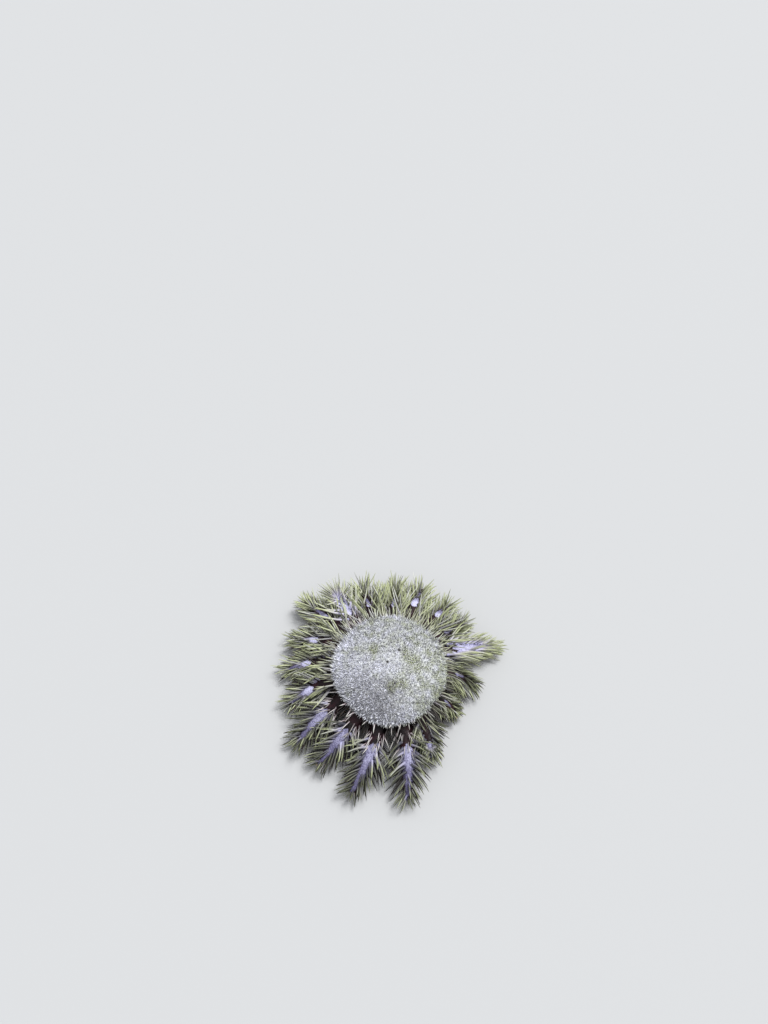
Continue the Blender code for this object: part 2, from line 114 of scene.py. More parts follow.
# How each arm looks: where its bare lavender stripe starts and ends along it, the stripe's share of
# the half width and its light; where its long spines start, how dense they are, and their length
# and spread against the usual; how many spines stand on its back, and how far they fan out in
# degrees; how far spines curl down and hook towards the front, as shares of their length; and how
# lilac and how much lighter its spines are. The stripe's light and the spines' tone are painted
# light and shade: lowest on the front arms, painted as in shade, and higher on those behind them.
Look = namedtuple(
    "Look",
    "first last width light clear dense length spread back fan curl hook lilac tone",
)
LOOKS = (
    Look(0.31, 1.02, 1.40, 0.42, 0.30, 0.85, 0.95, 1.00, 4, 30, 0.02, 0.00, 1.00, -0.84),
    Look(0.31, 1.02, 1.50, 0.38, 0.30, 0.85, 0.95, 0.96, 4, 30, 0.02, 0.00, 1.00, -0.84),
    Look(0.31, 1.00, 1.40, 0.36, 0.30, 0.86, 0.95, 0.88, 5, 30, 0.02, 0.00, 1.00, -0.82),
    Look(0.33, 0.99, 1.38, 0.44, 0.28, 0.90, 1.00, 0.84, 5, 30, 0.03, 0.00, 0.80, -0.70),
    Look(0.50, 0.92, 0.92, 0.74, 0.20, 1.00, 1.05, 0.80, 4, 30, 0.03, 0.00, 0.50, -0.28),
    Look(0.54, 0.94, 0.84, 0.80, 0.20, 1.00, 1.05, 0.72, 6, 30, 0.03, 0.05, 0.40, -0.12),
    Look(0.53, 0.92, 0.84, 0.84, 0.20, 1.00, 1.10, 0.72, 7, 35, 0.04, 0.05, 0.30, -0.06),
    Look(0.50, 0.80, 0.40, 0.45, 0.20, 1.00, 1.10, 0.85, 12, 60, 0.04, 0.05, 0.20, 0.10),
    Look(0.40, 1.30, 0.86, 0.90, 0.40, 0.62, 1.42, 1.10, 46, 150, 0.02, 0.00, 1.40, 0.24),
    Look(0.48, 0.70, 0.30, 0.60, 0.20, 1.00, 1.35, 0.72, 16, 75, 0.03, 0.00, 0.10, 0.25),
    Look(0.45, 0.66, 0.30, 0.70, 0.20, 1.00, 1.35, 0.68, 14, 60, 0.03, 0.00, 0.10, 0.25),
    Look(0.52, 0.86, 0.98, 0.80, 0.20, 0.90, 1.35, 0.68, 7, 40, 0.03, 0.00, 0.10, 0.20),
    Look(0.58, 0.84, 0.74, 0.70, 0.20, 0.90, 1.30, 0.70, 8, 40, 0.04, 0.00, 0.10, 0.15),
    Look(0.46, 0.72, 0.30, 0.30, 0.20, 0.95, 1.25, 0.80, 9, 40, 0.05, 0.05, 0.10, 0.10),
    Look(0.30, 1.20, 0.88, 0.60, 0.24, 1.20, 1.00, 0.42, 18, 22, 0.03, 0.10, 2.20, 0.40),
    Look(0.45, 0.70, 0.24, 0.30, 0.16, 0.90, 1.00, 0.80, 8, 30, 0.10, 0.42, 0.10, -0.24),
    Look(0.45, 0.75, 0.22, 0.30, 0.16, 0.90, 0.82, 0.72, 7, 30, 0.10, 0.10, 0.10, -0.34),
    Look(0.66, 1.40, 1.30, 0.34, 0.20, 0.80, 0.86, 0.85, 24, 150, 0.06, 0.06, 0.50, -0.48),
)
# The stripe's shape and its painted highlight, lightest near its head: share of its own length,
# share of its width or light.
STRIPE_SHAPE = (
    (-0.14, -0.60), (-0.04, -0.20), (0.04, 0.10), (0.12, 0.44), (0.22, 0.90), (0.30, 1.00),
    (0.42, 0.86), (0.62, 0.70), (0.90, 0.52), (1.00, 0.20), (1.10, -0.60),
)
STRIPE_HIGHLIGHT = (
    (0.00, 0.80), (0.15, 1.00), (0.33, 0.96), (0.50, 0.48), (0.75, 0.22), (1.00, 0.10),
)
# How softly its sides end, the height on the section where it starts, and how soft that end is.
STRIPE_EDGE = 0.6
STRIPE_UP = 0.40
STRIPE_UP_EDGE = 0.25

# Bright patches that no spine crosses: the arm's number, the patch's place along it and its radius.
BARE_PATCHES = (
    (4, 0.63, 0.0042), (5, 0.66, 0.0040), (6, 0.65, 0.0038), (8, 0.46, 0.0022),
    (11, 0.62, 0.0044), (12, 0.66, 0.0030), (14, 0.42, 0.0022),
)

# A row of spines on each side of an arm: where its roots lie on the section, its last place along
# the arm, how many spines a whole arm's length would have, their spread from the heading and rise
# in degrees where the row starts and ends, their size, how lilac their lower parts are and how dark
# they are. Their darkness is painted shade, which fills the low gaps between the arms.
Row = namedtuple("Row", "across up last dense spread spread_end rise rise_end size lilac dark")
SPINE_ROWS = (
    Row(0.60, 0.92, 0.93, 20, 58, 26, 34, 28, 0.92, 1.0, 0.0),
    Row(0.90, 0.66, 0.92, 23, 66, 34, 20, 20, 0.98, 0.8, 0.0),
    Row(0.94, 0.46, 0.92, 36, 68, 38, 5, 8, 0.88, 0.1, 1.0),
)
SPINE_SIDES = 7
SPINE_LENGTH = 0.036
LAST_SPINE_LENGTH = 0.021
SPINE_RADIUS = 0.00122
LAST_SPINE_RADIUS = 0.00092
ROOT_DEPTH = 0.0015
# The height on the section of the middle of the back.
BACK_UP = 0.98
# How far single spines stray: their roots along, across and up the section, their spread and rise
# in degrees, and the least and greatest share of their length and of their radius.
STRAY_ALONG = 0.03
STRAY_ACROSS = 0.07
STRAY_UP = 0.08
STRAY_SPREAD = 10
STRAY_RISE = 8
STRAY_LENGTH = (0.70, 1.10)
STRAY_RADIUS = (0.80, 1.12)
# How much lighter than its arm's tone a single spine may be, from the darkest to the palest.
TONE_SPREAD = (-0.12, 1.12)
# How dark the painted shade of the lowest spines is on an arm of middling tone; it deepens as the
# arm's tone falls.
DARK_SPINES = 0.85
# How much lighter and thicker the most lilac spines are. The lightening is a painted highlight,
# which follows the stripe's.
LILAC_LIFT = 0.46
LILAC_WIDTH = 1.30
# How far a spine's end bends at random, and how far the end of one that stands out sideways sweeps
# towards the arm's tip, as shares of its length.
SPINE_BEND = 0.10
SPINE_SWEEP = 0.30
# No spine is rooted under the rim's coat, nearer to the disc's centre than this. Those that would
# be are moved out, straying by up to this share of the arm's length.
NEAREST_ROOT = 0.0745
NEAREST_STRAY = 0.05
# The spines on an arm's back: their middle place along it and how far from there a group with no
# fan would run, their greatest distance across the section, their lengths at its root and its tip
# with the shares that these stray by, their rise and stray turn in degrees, and how much greyer a
# full fan is.
BACK_SPINES_AT = 0.84
BACK_SPINES_RUN = 0.16
BACK_SPINES_ACROSS = 0.38
BACK_SPINE_LENGTHS = (0.030, 0.020)
BACK_SPINE_STRAY = (0.85, 1.10)
BACK_SPINE_RISE = (20, 55)
BACK_SPINE_TURN = 12
FAN_GREY = 0.50
# The fan of spines round an arm's tip: their count, their length with the shares that it strays by,
# their place along the arm and how far this strays, the fan's half width and the spines' stray turn
# and rise in degrees, and how wide and how lilac they are against the others.
TIP_SPINES = 9
TIP_SPINE_LENGTH = 0.0175
TIP_SPINE_STRAY = (0.75, 1.10)
TIP_SPINES_AT = 0.95
TIP_STRAY = (-0.03, 0.02)
TIP_FAN = 55
TIP_TURN = 6
TIP_RISE = (2, 38)
TIP_WIDTH = 0.9
TIP_LILAC = 0.3
# Thin pale stalks on the dark inner part, up to a little past where the long spines start: their
# count for a whole arm's length, lengths, radius, places across the section and how much lower the
# outer ones stand, turn aside, stray turn and rise in degrees, and how light they are.
STALKS = 64
STALKS_PAST = 0.10
STALK_LENGTH = (0.011, 0.023)
STALK_RADIUS = 0.00064
STALK_ACROSS = (0.25, 0.95)
STALK_DOWN = 0.3
STALK_SPREAD = 38
STALK_TURN = 14
STALK_RISE = (8, 36)
STALK_TONE = 0.22
# The collar of spines under the disc's rim, in tiers: their count, their roots' distance from the
# centre and height, their shortest and longest, their least and greatest rise in degrees, how far
# in degrees they keep from the arms' middle lines, and how dark they are. Their darkness is painted
# shade, deepest in the lowest tier between the arms.
Tier = namedtuple("Tier", "count distance height shortest longest low high clear dark")
COLLAR = (
    Tier(76, 0.0680, 0.0375, 0.016, 0.026, 20, 44, 0, 0.0),
    Tier(84, 0.0655, 0.0345, 0.018, 0.030, 4, 24, 0, 0.1),
    Tier(230, 0.0640, 0.0270, 0.018, 0.034, -14, 6, 7, 0.9),
)
# How far its spines stray from their places as a share of the space between them, their radius with
# the shares that it strays by, droop, how lilac they are, and their place on the map.
COLLAR_STRAY = 0.35
COLLAR_RADIUS = 0.00080
COLLAR_WIDTHS = (0.85, 1.15)
COLLAR_CURL = 0.04
COLLAR_LILAC = 0.15
COLLAR_ON_MAP = 0.97
# An arm's inner part is bare where its long spines start farther out than this share of it.
BARE_FROM = 0.27
# Beside covered arms, how far the collar's spines turn at random in degrees, and how pink they and
# the stalks are. Beside and on bare arms they are all pink.
COLLAR_SPREAD = 7
COVERED_PINK = 0.30
# Beside bare arms, how far the collar's spines turn, their length against the usual, and the share
# of them that is left out.
BARE_COLLAR_SPREAD = 12
BARE_COLLAR = 0.72
BARE_COLLAR_GAPS = 0.62

# The outlines of the forms: share of the length, share of the radius.
SPINE_PROFILE = (
    (0.00, 1.90), (0.06, 1.38), (0.16, 1.08), (0.35, 0.92), (0.55, 0.80),
    (0.72, 0.63), (0.86, 0.42), (0.95, 0.22),
)
BUD_PROFILE = ((0.00, 1.00), (0.55, 0.92), (0.88, 0.60))
PRICKLE_PROFILE = ((0.00, 1.10), (0.30, 0.90), (0.65, 0.62), (0.88, 0.34))
BLUNT_PROFILE = ((0.00, 1.10), (0.30, 0.95), (0.75, 0.85), (0.95, 0.50))
FOOT_PROFILE = (
    (0.00, 0.62), (0.30, 0.52), (0.62, 0.46), (0.82, 0.50), (0.88, 0.78),
    (0.93, 1.00), (0.98, 0.98), (1.00, 0.84),
)

# How wide a form's patch on the map is, and the share of that width at its end.
PATCH = 0.0030
PATCH_END = 0.1
# How many objects hold the arms' spines and their buds.
SPINE_PIECES = 3
BUD_PIECES = 2
# Every random draw starts from this.
SEED = 7

# The disc's coat of many short forms: their outline and its sides, their count, radius, their
# length and outward lean in degrees at shares of the way from the middle of the top to the bottom
# of the lip, how much they follow the disc's patches of painted light and shade, and in how many
# sectors they are made.
Coat = namedtuple("Coat", "name profile sides count radius lengths leans pale sectors")
PRICKLES = Coat(
    "disc_prickles", PRICKLE_PROFILE, 6, 2600, 0.00052,
    ((0.0, 0.0046), (0.2, 0.0048), (0.5, 0.0058), (0.82, 0.0062), (0.92, 0.0046), (1.0, 0.0034)),
    ((0.0, 0), (0.5, 8), (0.82, 26), (1.0, 5)), 0.5, 2,
)
BUDS = Coat(
    "disc_buds", BUD_PROFILE, 4, 14000, 0.00060,
    ((0.0, 0.0017), (0.8, 0.0021), (1.0, 0.0026)),
    ((0.0, 0), (0.6, 4), (0.9, 24), (1.0, 8)), 1.6, 3,
)
# How far they stray: their places as a share of the space that each has, their lean, the least and
# greatest share of their length, and their bend.
COAT_STRAY = 0.42
COAT_LEAN = 0.26
COAT_LENGTHS = (0.70, 1.15)
COAT_BEND = 0.16
COAT_DEPTH = 0.0006
# The least distance from the middle, and the distance within which their stray turn round it grows
# no more.
FIRST_RUN = 0.0003
LEAST_OUT = 0.002
# The long bristles round the rim, shorter at the front than at the back: their count, places from
# the middle to the lip and stray place round it in degrees, lengths, the share of these at the
# front, radius, upward lean, stray turn in degrees, stray lean, bend, droop, tone, and how much
# more olive than the coat they are.
BRISTLES = 240
BRISTLES_AT = (0.74, 0.95)
BRISTLE_SHIFT = 2
BRISTLE_LENGTH = (0.0070, 0.0190)
FRONT_BRISTLES = 0.15
BRISTLE_RADIUS = 0.00062
BRISTLE_UP = 0.30
BRISTLE_TURN = 9
BRISTLE_STRAY = 0.12
BRISTLE_BEND = 0.14
BRISTLE_DROOP = 0.04
BRISTLE_TONE = (0.2, 1.0)
BRISTLE_OLIVE = 0.25
# The turn in degrees from one form to the next that spreads them evenly.
GOLDEN_ANGLE = 137.508
# Bare pores in the disc's coat: x, y and radius. PORE_EDGE is how sharply they end in the skin.
PORE_EDGE = 1.6
PORES = (
    (-0.0019, 0.0019, 0.0022),
    (0.0124, 0.0178, 0.0020),
    (0.0178, 0.0116, 0.0015),
    (0.0344, -0.0076, 0.0012),
    (-0.0208, 0.0205, 0.0011),
    (0.0072, -0.0248, 0.0019),
    (0.0010, -0.0300, 0.0015),
    (0.0040, -0.0365, 0.0013),
    (0.0150, -0.0262, 0.0016),
    (0.0215, -0.0305, 0.0012),
    (-0.0270, -0.0390, 0.0013),
    (-0.0420, -0.0330, 0.0012),
)
# How olive the coat is, from the left to the right, and soft patches of it: x, y, radius, strength.
OLIVE_GROUND = 0.38
OLIVE_SLOPE = 0.20
OLIVE_PATCHES = (
    (-0.0203, 0.0189, 0.0064, 0.85),
    (-0.0180, 0.0100, 0.0050, 0.30),
    (0.0020, -0.0290, 0.0060, 0.90),
    (0.0090, -0.0255, 0.0050, 0.85),
    (0.0175, -0.0270, 0.0055, 0.60),
    (0.0040, -0.0370, 0.0045, 0.60),
    (0.0190, 0.0125, 0.0064, 0.80),
    (0.0275, 0.0050, 0.0064, 0.60),
    (0.0344, -0.0076, 0.0035, 0.70),
    (0.0000, 0.0000, 0.0160, -0.20),
    (-0.0200, -0.0500, 0.0350, -0.42),
)
# Painted light and shade: soft patches where the disc is paler or darker as it is lit, palest on
# the right and darkest at the front on the left: x, y, radius, strength.
LIGHT_AND_SHADE_PATCHES = (
    (0.0000, 0.0000, 0.0180, 0.20),
    (-0.0500, 0.0100, 0.0300, 0.18),
    (0.0000, 0.0500, 0.0300, 0.12),
    (0.0520, -0.0050, 0.0330, 0.30),
    (0.0350, -0.0480, 0.0280, 0.14),
    (-0.0200, -0.0550, 0.0350, -0.22),
)
# How far the disc's rim stands from a round one, as a share, at angles from +X.
RIM_WAVE = (
    (0, 1.020), (45, 1.000), (90, 1.015), (135, 0.990), (180, 1.005), (225, 0.945), (262, 1.010),
    (300, 1.005), (322, 0.970), (345, 1.015), (360, 1.020),
)

# The soft buds of the arms: their count in a metre of arm, last place along it, lengths, radii,
# depth of root, stray lean, bend, and how far they lean aside, rise, and rise more on the back.
BUDS_PER_METRE = 3200
LAST_BUD = 0.97
ARM_BUD_LENGTH = (0.0012, 0.0026)
ARM_BUD_RADIUS = (0.00035, 0.0005)
ARM_BUD_DEPTH = 0.0005
ARM_BUD_STRAY = 0.22
ARM_BUD_BEND = 0.2
ARM_BUD_ASIDE = 0.9
ARM_BUD_RISE = 0.25
ARM_BUD_STEEPER = 0.8
# Their places on the section: share of the way up the flank, across and up. Up to BUDDED_BACK along
# the arm they stand on its back too, within BACK_BUDS of its middle.
FLANK = ((0.0, 1.00, 0.30), (0.5, 0.84, 0.76), (1.0, 0.42, 0.98))
BUDDED_BACK = 0.28
BACK_BUDS = 0.42

# Tube feet: their spacing in a row, first and last place along an arm, place across and up its
# section, half the space between the rows under the disc, how far these keep from the mouth and the
# wall and how deep they are rooted, sucker radius and the shares that it strays by, outward and
# stray lean, and bend.
FOOT_STEP = 0.0044
FEET_ALONG = (0.03, 0.95)
FOOT_ACROSS = 0.26
FOOT_UP = 0.16
FOOT_ROW = 0.0026
CLEAR_OF_MOUTH = 0.006
CLEAR_OF_WALL = 0.002
FOOT_DEPTH = 0.001
FOOT_RADIUS = 0.0018
FOOT_WIDTHS = (0.85, 1.10)
FOOT_LEAN = 0.16
FOOT_STRAY = 0.12
FOOT_BEND = 0.12
# The blunt spines beside the grooves: their spacing, first and last place along an arm, place
# across and up its section, turn aside and rise in degrees with how much each strays, depth of
# root, length, height above the floor, and radius.
GROOVE_STEP = 0.0034
GROOVE_ALONG = (0.02, 0.95)
GROOVE_ACROSS = 0.58
GROOVE_UP = 0.05
GROOVE_TURN = (70, 10)
GROOVE_RISE = (-32, 6)
GROOVE_DEPTH = 0.0008
GROOVE_LENGTH = 0.0048
GROOVE_HEIGHT = 0.0006
GROOVE_RADIUS = 0.00055
# The blunt spines in rows under the disc, between the arms: how many in a row, its ends, their lean
# outwards and stray lean, depth of root, lengths and radius.
UNDER_ROW = 10
UNDER_REACH = (0.022, 0.058)
UNDER_LEAN = 0.8
UNDER_STRAY = 0.15
UNDER_DEPTH = 0.0006
UNDER_LENGTH = (0.0035, 0.0050)
UNDER_RADIUS = 0.0006
# The spines of each jaw: the jaws' turn in degrees, the fan of three spines, length, radius, drop,
# and their places as shares of the mouth's radius and depth.
JAW_TURN = 10.0
JAW_FAN = np.array((-14.0, 0.0, 14.0))
JAW_SPINE_LENGTH = 0.0078
JAW_SPINE_RADIUS = 0.0009
JAW_SPINE_DROP = 0.42
JAW_SPINE_OUT = 0.8
JAW_SPINE_DOWN = 0.7
# The distances from the centre that count as an arm's whole length on the map of the underside, and
# the jaws' place along it.
FEET_MAP_REACH = 0.17
UNDER_MAP_REACH = 0.20
JAW_MAP_ALONG = 0.9

# The camera: its angle over the front of the disc, its distance from a point over the disc's
# centre, its rotation, and its lens by the photo's own pixels.
CAMERA_ELEVATION = 68.0
CAMERA_DISTANCE = 0.9
CAMERA_AIM_HEIGHT = 0.045
CAMERA_ROTATION = (34.40, 0.0, 1.0593)
FOCAL_PIXELS = 705.0
PHOTO_HEIGHT = 1024
SENSOR = 36.0
CLIP_START = 0.01

# Light from all round, one broad sun, and the floor.
WORLD_COLOUR = (0.95, 0.97, 1.0, 1.0)
WORLD_STRENGTH = 0.62
SUN_STRENGTH = 3.5
SUN_SOFTNESS = 24.0
SUN_FROM = (0.50, 0.40, 1.25)
FLOOR_RADIUS = 30.0
FLOOR_SIDES = 96
FLOOR_DROP = 0.0002


# Numbers and small geometry

def unit(degrees):
    """Level unit vectors at angles from +X, as plan coordinates."""
    angle = np.radians(degrees)
    return np.stack([np.cos(angle), np.sin(angle)], -1)


def blend(low, high, share):
    """The value a share of the way from low to high."""
    return low + (high - low) * share


def normalised(vectors):
    """Vectors made one long."""
    return vectors / np.linalg.norm(vectors, axis=-1, keepdims=True)


def raised(level, height):
    """Plan points or directions with a height, or a height each."""
    return np.column_stack([level, np.broadcast_to(height, len(level))])


def apart(points, place):
    """The level distances of points from a place in the plan."""
    return np.linalg.norm(points[:, :2] - place, axis=1)


def read(table, place):
    """The values between those of a table of places and values."""
    return np.interp(place, *zip(*table))


def tint(red, green, blue):
    """A colour given as it shows on a screen, from 0 to 255, as linear light."""
    return tuple((channel / 255) ** 2.2 for channel in (red, green, blue)) + (1.0,)


# The shape of the arms and the disc

def length_of(arm):
    """An arm's length from the disc's wall."""
    return arm.reach - WALL_RADIUS


def arm_line(arm, along):
    """Plan points, headings and left sides of an arm's middle line."""
    along = np.asarray(along, float)
    past_root = np.clip(along, 0, None)
    length = length_of(arm)
    ahead = unit(arm.direction)
    aside = unit(arm.direction + 90)
    centre = (WALL_RADIUS + length * along)[:, None] * ahead
    centre = centre + (arm.bend * past_root**2)[:, None] * aside
    heading = normalised(length * ahead + (2 * arm.bend * past_root)[:, None] * aside)
    left = np.stack([-heading[:, 1], heading[:, 0]], 1)
    return centre, heading, left


def arm_sizes(arm, along):
    """Half width, top and underside of an arm."""
    half_width, top, underside = (
        np.interp(along, ARM_SECTIONS[:, 0], ARM_SECTIONS[:, column]) for column in (1, 2, 3)
    )
    lift = arm.lift * np.clip(along, 0, None) ** 2
    return half_width, top + lift, underside + lift


def arm_points(arm, along, across, up):
    """Points of an arm: across runs from -1 on its right to 1 on its left, up from 0 to 1."""
    along, across, up = np.broadcast_arrays(*(np.asarray(x, float) for x in (along, across, up)))
    centre, _, left = arm_line(arm, along)
    half_width, top, underside = arm_sizes(arm, along)
    level = centre + left * (across * half_width)[:, None]
    return raised(level, blend(underside, top, up))


def closed_curve(points, steps):
    """A smooth closed curve through points, with a number of steps between each two."""
    points = np.asarray(points, float)
    before, here = np.roll(points, 1, 0), points
    after, beyond = np.roll(points, -1, 0), np.roll(points, -2, 0)
    curve = []
    for t in np.arange(steps) / steps:
        curve.append(0.5 * (
            2 * here + (after - before) * t
            + (2 * before - 5 * here + 4 * after - beyond) * t**2
            + (3 * here - before - 3 * after + beyond) * t**3
        ))
    return np.stack(curve, 1).reshape(-1, points.shape[1])


def crown_height(distance):
    """The height of the disc's upper skin at a distance from its centre."""
    share = np.clip(distance / RIM_RADIUS, 0, 1)
    return blend(RIM_HEIGHT, CROWN_HEIGHT, (1 - share**CROWN_FLATNESS) ** CROWN_ROUNDNESS)


def disc_profile():
    """The disc's outline from the middle of its top over the rim to the top of the wall."""
    distance = RIM_RADIUS * np.sin(np.linspace(0, math.pi / 2, PROFILE_POINTS))
    points = list(zip(distance, crown_height(distance)))
    for out, up in LIP:
        points.append((blend(WALL_RADIUS, RIM_RADIUS, out), blend(WALL_TOP, RIM_HEIGHT, up)))
    points.append((WALL_RADIUS, WALL_TOP))
    return np.array(points)


def rim_wave(degrees, distance):
    """The share by which points of the disc are moved out or in at an angle and a distance."""
    wave = read(RIM_WAVE, np.mod(degrees, 360)) - 1
    return 1 + wave * np.clip(distance / RIM_RADIUS, 0, 1) ** 2


class DiscSurface:
    """Places on the disc's top and lip by their distance along the profile."""

    def __init__(self):
        points = disc_profile()
        steps = np.linalg.norm(np.diff(points, axis=0), axis=1)
        self.run = np.concatenate([[0], np.cumsum(steps)])
        self.length = self.run[-1]
        self.points = points
        middle = (points[1:, 0] + points[:-1, 0]) / 2
        self.area = np.concatenate([[0], np.cumsum(middle * steps)])

    def spread_runs(self, shares):
        """Distances along the profile that share its area evenly."""
        return np.interp(shares * self.area[-1], self.area, self.run)

    def place(self, run, degrees):
        """Points and outward normals."""
        (out, height), (out_ahead, height_ahead), (out_behind, height_behind) = (
            [np.interp(run + step, self.run, column) for column in self.points.T]
            for step in (0, PROFILE_STEP, -PROFILE_STEP)
        )
        d_out, d_height = out_ahead - out_behind, height_ahead - height_behind
        level = unit(degrees)
        points = raised(level * (out * rim_wave(degrees, out))[:, None], height)
        normals = raised(level * -d_height[:, None], d_out)
        return points, normalised(normals)


# Meshes

def set_numbers(mesh, values):
    """Give the points of a mesh named numbers."""
    for label, numbers in values.items():
        layer = mesh.attributes.new(label, "FLOAT", "POINT")
        layer.data.foreach_set("value", np.asarray(numbers, np.float32).ravel())


def as_piece(name, mesh):
    """A smooth object in the scene from a mesh."""
    mesh.shade_smooth()
    piece = bpy.data.objects.new(name, mesh)
    bpy.context.scene.collection.objects.link(piece)
    return piece


def mesh_piece(name, points, faces, material, values=None, spots=None):
    """An object from points and faces, with named numbers on its points and a UV map."""
    mesh = bpy.data.meshes.new(name)
    sizes = np.concatenate([np.full(len(block), block.shape[1]) for block in faces])
    corners = np.concatenate([block.ravel() for block in faces])
    mesh.vertices.add(len(points))
    mesh.vertices.foreach_set("co", np.ascontiguousarray(points, np.float32).ravel())
    mesh.loops.add(len(corners))
    mesh.loops.foreach_set("vertex_index", corners.astype(np.int32))
    mesh.polygons.add(len(sizes))
    starts = np.concatenate([[0], np.cumsum(sizes)[:-1]])
    mesh.polygons.foreach_set("loop_start", starts.astype(np.int32))
    mesh.update(calc_edges=True)
    set_numbers(mesh, values or {})
    if spots is not None:
        layer = mesh.uv_layers.new(name="OFBake")
        layer.uv.foreach_set("vector", spots[corners].astype(np.float32).ravel())
    mesh.materials.append(material)
    return as_piece(name, mesh)


def loft_faces(rings, sides, start):
    """Faces of a closed tube of rings, with a pole before the first and one after the last."""
    here = np.arange(sides)
    turn = (here + 1) % sides
    quads = []
    for ring in range(rings - 1):
        low, high = start + ring * sides, start + (ring + 1) * sides
        quads.append(np.stack([low + here, low + turn, high + turn, high + here], 1))
    first_pole, last_pole = start + rings * sides, start + rings * sides + 1
    last = start + (rings - 1) * sides
    fans = [
        np.stack([start + turn, start + here, np.full(sides, first_pole)], 1),
        np.stack([last + here, last + turn, np.full(sides, last_pole)], 1),
    ]
    return np.concatenate(quads), np.concatenate(fans)


def clear_of_patches(axis):
    """Which forms cross none of the bare patches, seen from above, by the points of their axes."""
    clear = np.ones(len(axis), bool)
    for number, share, radius in BARE_PATCHES:
        middle = arm_line(ARMS[number], [share])[0]
        clear &= np.linalg.norm(axis[..., :2] - middle, axis=-1).min(1) > radius
    return clear


class Forms:
    """Collects like tapered forms, each a closed tube from its root to its end."""

    def __init__(self, profile, sides, on_top=False):
        """Forms on top keep off the bare patches."""
        self.places = np.array([t for t, _ in profile])
        self.widths = np.array([width for _, width in profile])
        self.sides = sides
        self.on_top = on_top
        self.parts = []

    def add(self, roots, ways, lengths, radii, spots, draw, bend=0.06, sweep=0.0, level=False,
            **values):
        """Add forms with their roots, directions, lengths and radii. Each bends a little to a side
        of its own, and by the sweep, and level ones have level ends. spots are their places on the
        map, and values are named numbers for each form. Their tone is drawn if it isn't given."""
        count = len(roots)
        if "tone" not in values:
            values["tone"] = draw.uniform(0, 1, count)
        lengths = np.broadcast_to(lengths, count)
        radii = np.broadcast_to(radii, count)
        ways = normalised(ways)
        spin = draw.uniform(0, 2 * math.pi, count)
        steep = np.abs(ways[:, 2:]) > 0.9
        guide = np.where(steep, (1.0, 0.0, 0.0), (0.0, 0.0, 1.0))
        first = normalised(np.cross(guide, ways))
        second = np.cross(ways, first)
        if level:
            first = np.tile((1.0, 0.0, 0.0), (count, 1))
            second = np.tile((0.0, 1.0, 0.0), (count, 1)) * np.sign(ways[:, 2:])
        bow = first * np.cos(spin)[:, None] + second * np.sin(spin)[:, None]
        bow = bow * draw.uniform(0, bend, count)[:, None] + sweep
        places = np.append(self.places, (self.places[0], 1.0))
        axis = roots[:, None] + ways[:, None] * (lengths[:, None] * places)[..., None]
        axis = axis + bow[:, None] * (lengths[:, None] * places**2)[..., None]
        clear = clear_of_patches(axis) if self.on_top else np.ones(count, bool)
        angle = spin[:, None] + np.arange(self.sides) * (2 * math.pi / self.sides)
        circle = first[:, None] * np.cos(angle)[..., None]
        circle = circle + second[:, None] * np.sin(angle)[..., None]
        widths = (radii[:, None] * self.widths)[..., None, None]
        rings = axis[:, :-2, None] + circle[:, None] * widths
        points = np.concatenate([rings.reshape(count, -1, 3), axis[:, -2:]], 1)
        shrink = blend(1.0, PATCH_END, self.places)
        flat = np.stack([np.cos(angle), np.sin(angle)], -1)
        map_rings = spots[:, None, None] + (PATCH / 2) * flat[:, None] * shrink[:, None, None]
        map_rings = map_rings.reshape(count, -1, 2)
        maps = np.concatenate([map_rings, map_rings[:, :1], spots[:, None]], 1)
        t = np.append(np.repeat(self.places, self.sides), (0.0, 1.0))
        self.parts.append((points[clear], maps[clear], np.tile(t, (clear.sum(), 1)), {
            label: np.broadcast_to(np.asarray(numbers, float), count)[clear]
            for label, numbers in values.items()
        }))

    def piece(self, name, material):
        """One object of everything added."""
        points = np.concatenate([part[0] for part in self.parts])
        maps = np.concatenate([part[1] for part in self.parts])
        t = np.concatenate([part[2] for part in self.parts])
        count, each = points.shape[:2]
        quads, fans = loft_faces(len(self.places), self.sides, 0)
        shift = np.arange(count)[:, None, None] * each
        faces = [(quads + shift).reshape(-1, 4), (fans + shift).reshape(-1, 3)]
        values = {"t": t}
        for label in self.parts[0][3]:
            numbers = np.concatenate([part[3][label] for part in self.parts])
            values[label] = np.repeat(numbers, each)
        points = points.reshape(-1, 3) + HUB
        return mesh_piece(name, points, faces, material, values, maps.reshape(-1, 2))


# Colours, as they show on a screen

MAROON_DARK = tint(18, 9, 13)
MAROON = tint(44, 19, 27)
LAVENDER = tint(206, 205, 238)
LAVENDER_DEEP = tint(88, 84, 114)
DISC_GROUND_DARK = tint(112, 110, 112)
DISC_GROUND = tint(190, 191, 192)
BUFF = tint(214, 190, 150)
BUFF_DEEP = tint(172, 140, 104)
SPINE_LILAC = tint(176, 174, 212)
SPINE_LAVENDER = tint(182, 178, 200)
SPINE_PINK = tint(134, 116, 122)
SPINE_BUFF = tint(192, 186, 186)
OLIVE_DARK = tint(98, 102, 66)
OLIVE_GREY = tint(176, 175, 166)
OLIVE = tint(158, 162, 130)
OLIVE_TIP = tint(166, 172, 128)
OLIVE_LIGHT = tint(178, 184, 146)
OLIVE_SHADE = tint(132, 136, 98)
SPINE_SHADE = tint(66, 56, 52)
SPINE_ASH = tint(160, 158, 162)
SPINE_GREY = tint(168, 168, 166)
SPINE_GREY_TIP = tint(200, 202, 192)
PRICKLE_ROOT = tint(160, 157, 188)
PRICKLE = tint(226, 228, 238)
PRICKLE_TIP = tint(253, 253, 255)
PRICKLE_OLIVE = tint(208, 216, 186)
BUD_ROOT = tint(126, 122, 156)
BUD = tint(207, 208, 224)
BUD_TIP = tint(240, 242, 252)
BUD_OLIVE = tint(180, 188, 152)
ARM_BUD_END = tint(74, 54, 56)
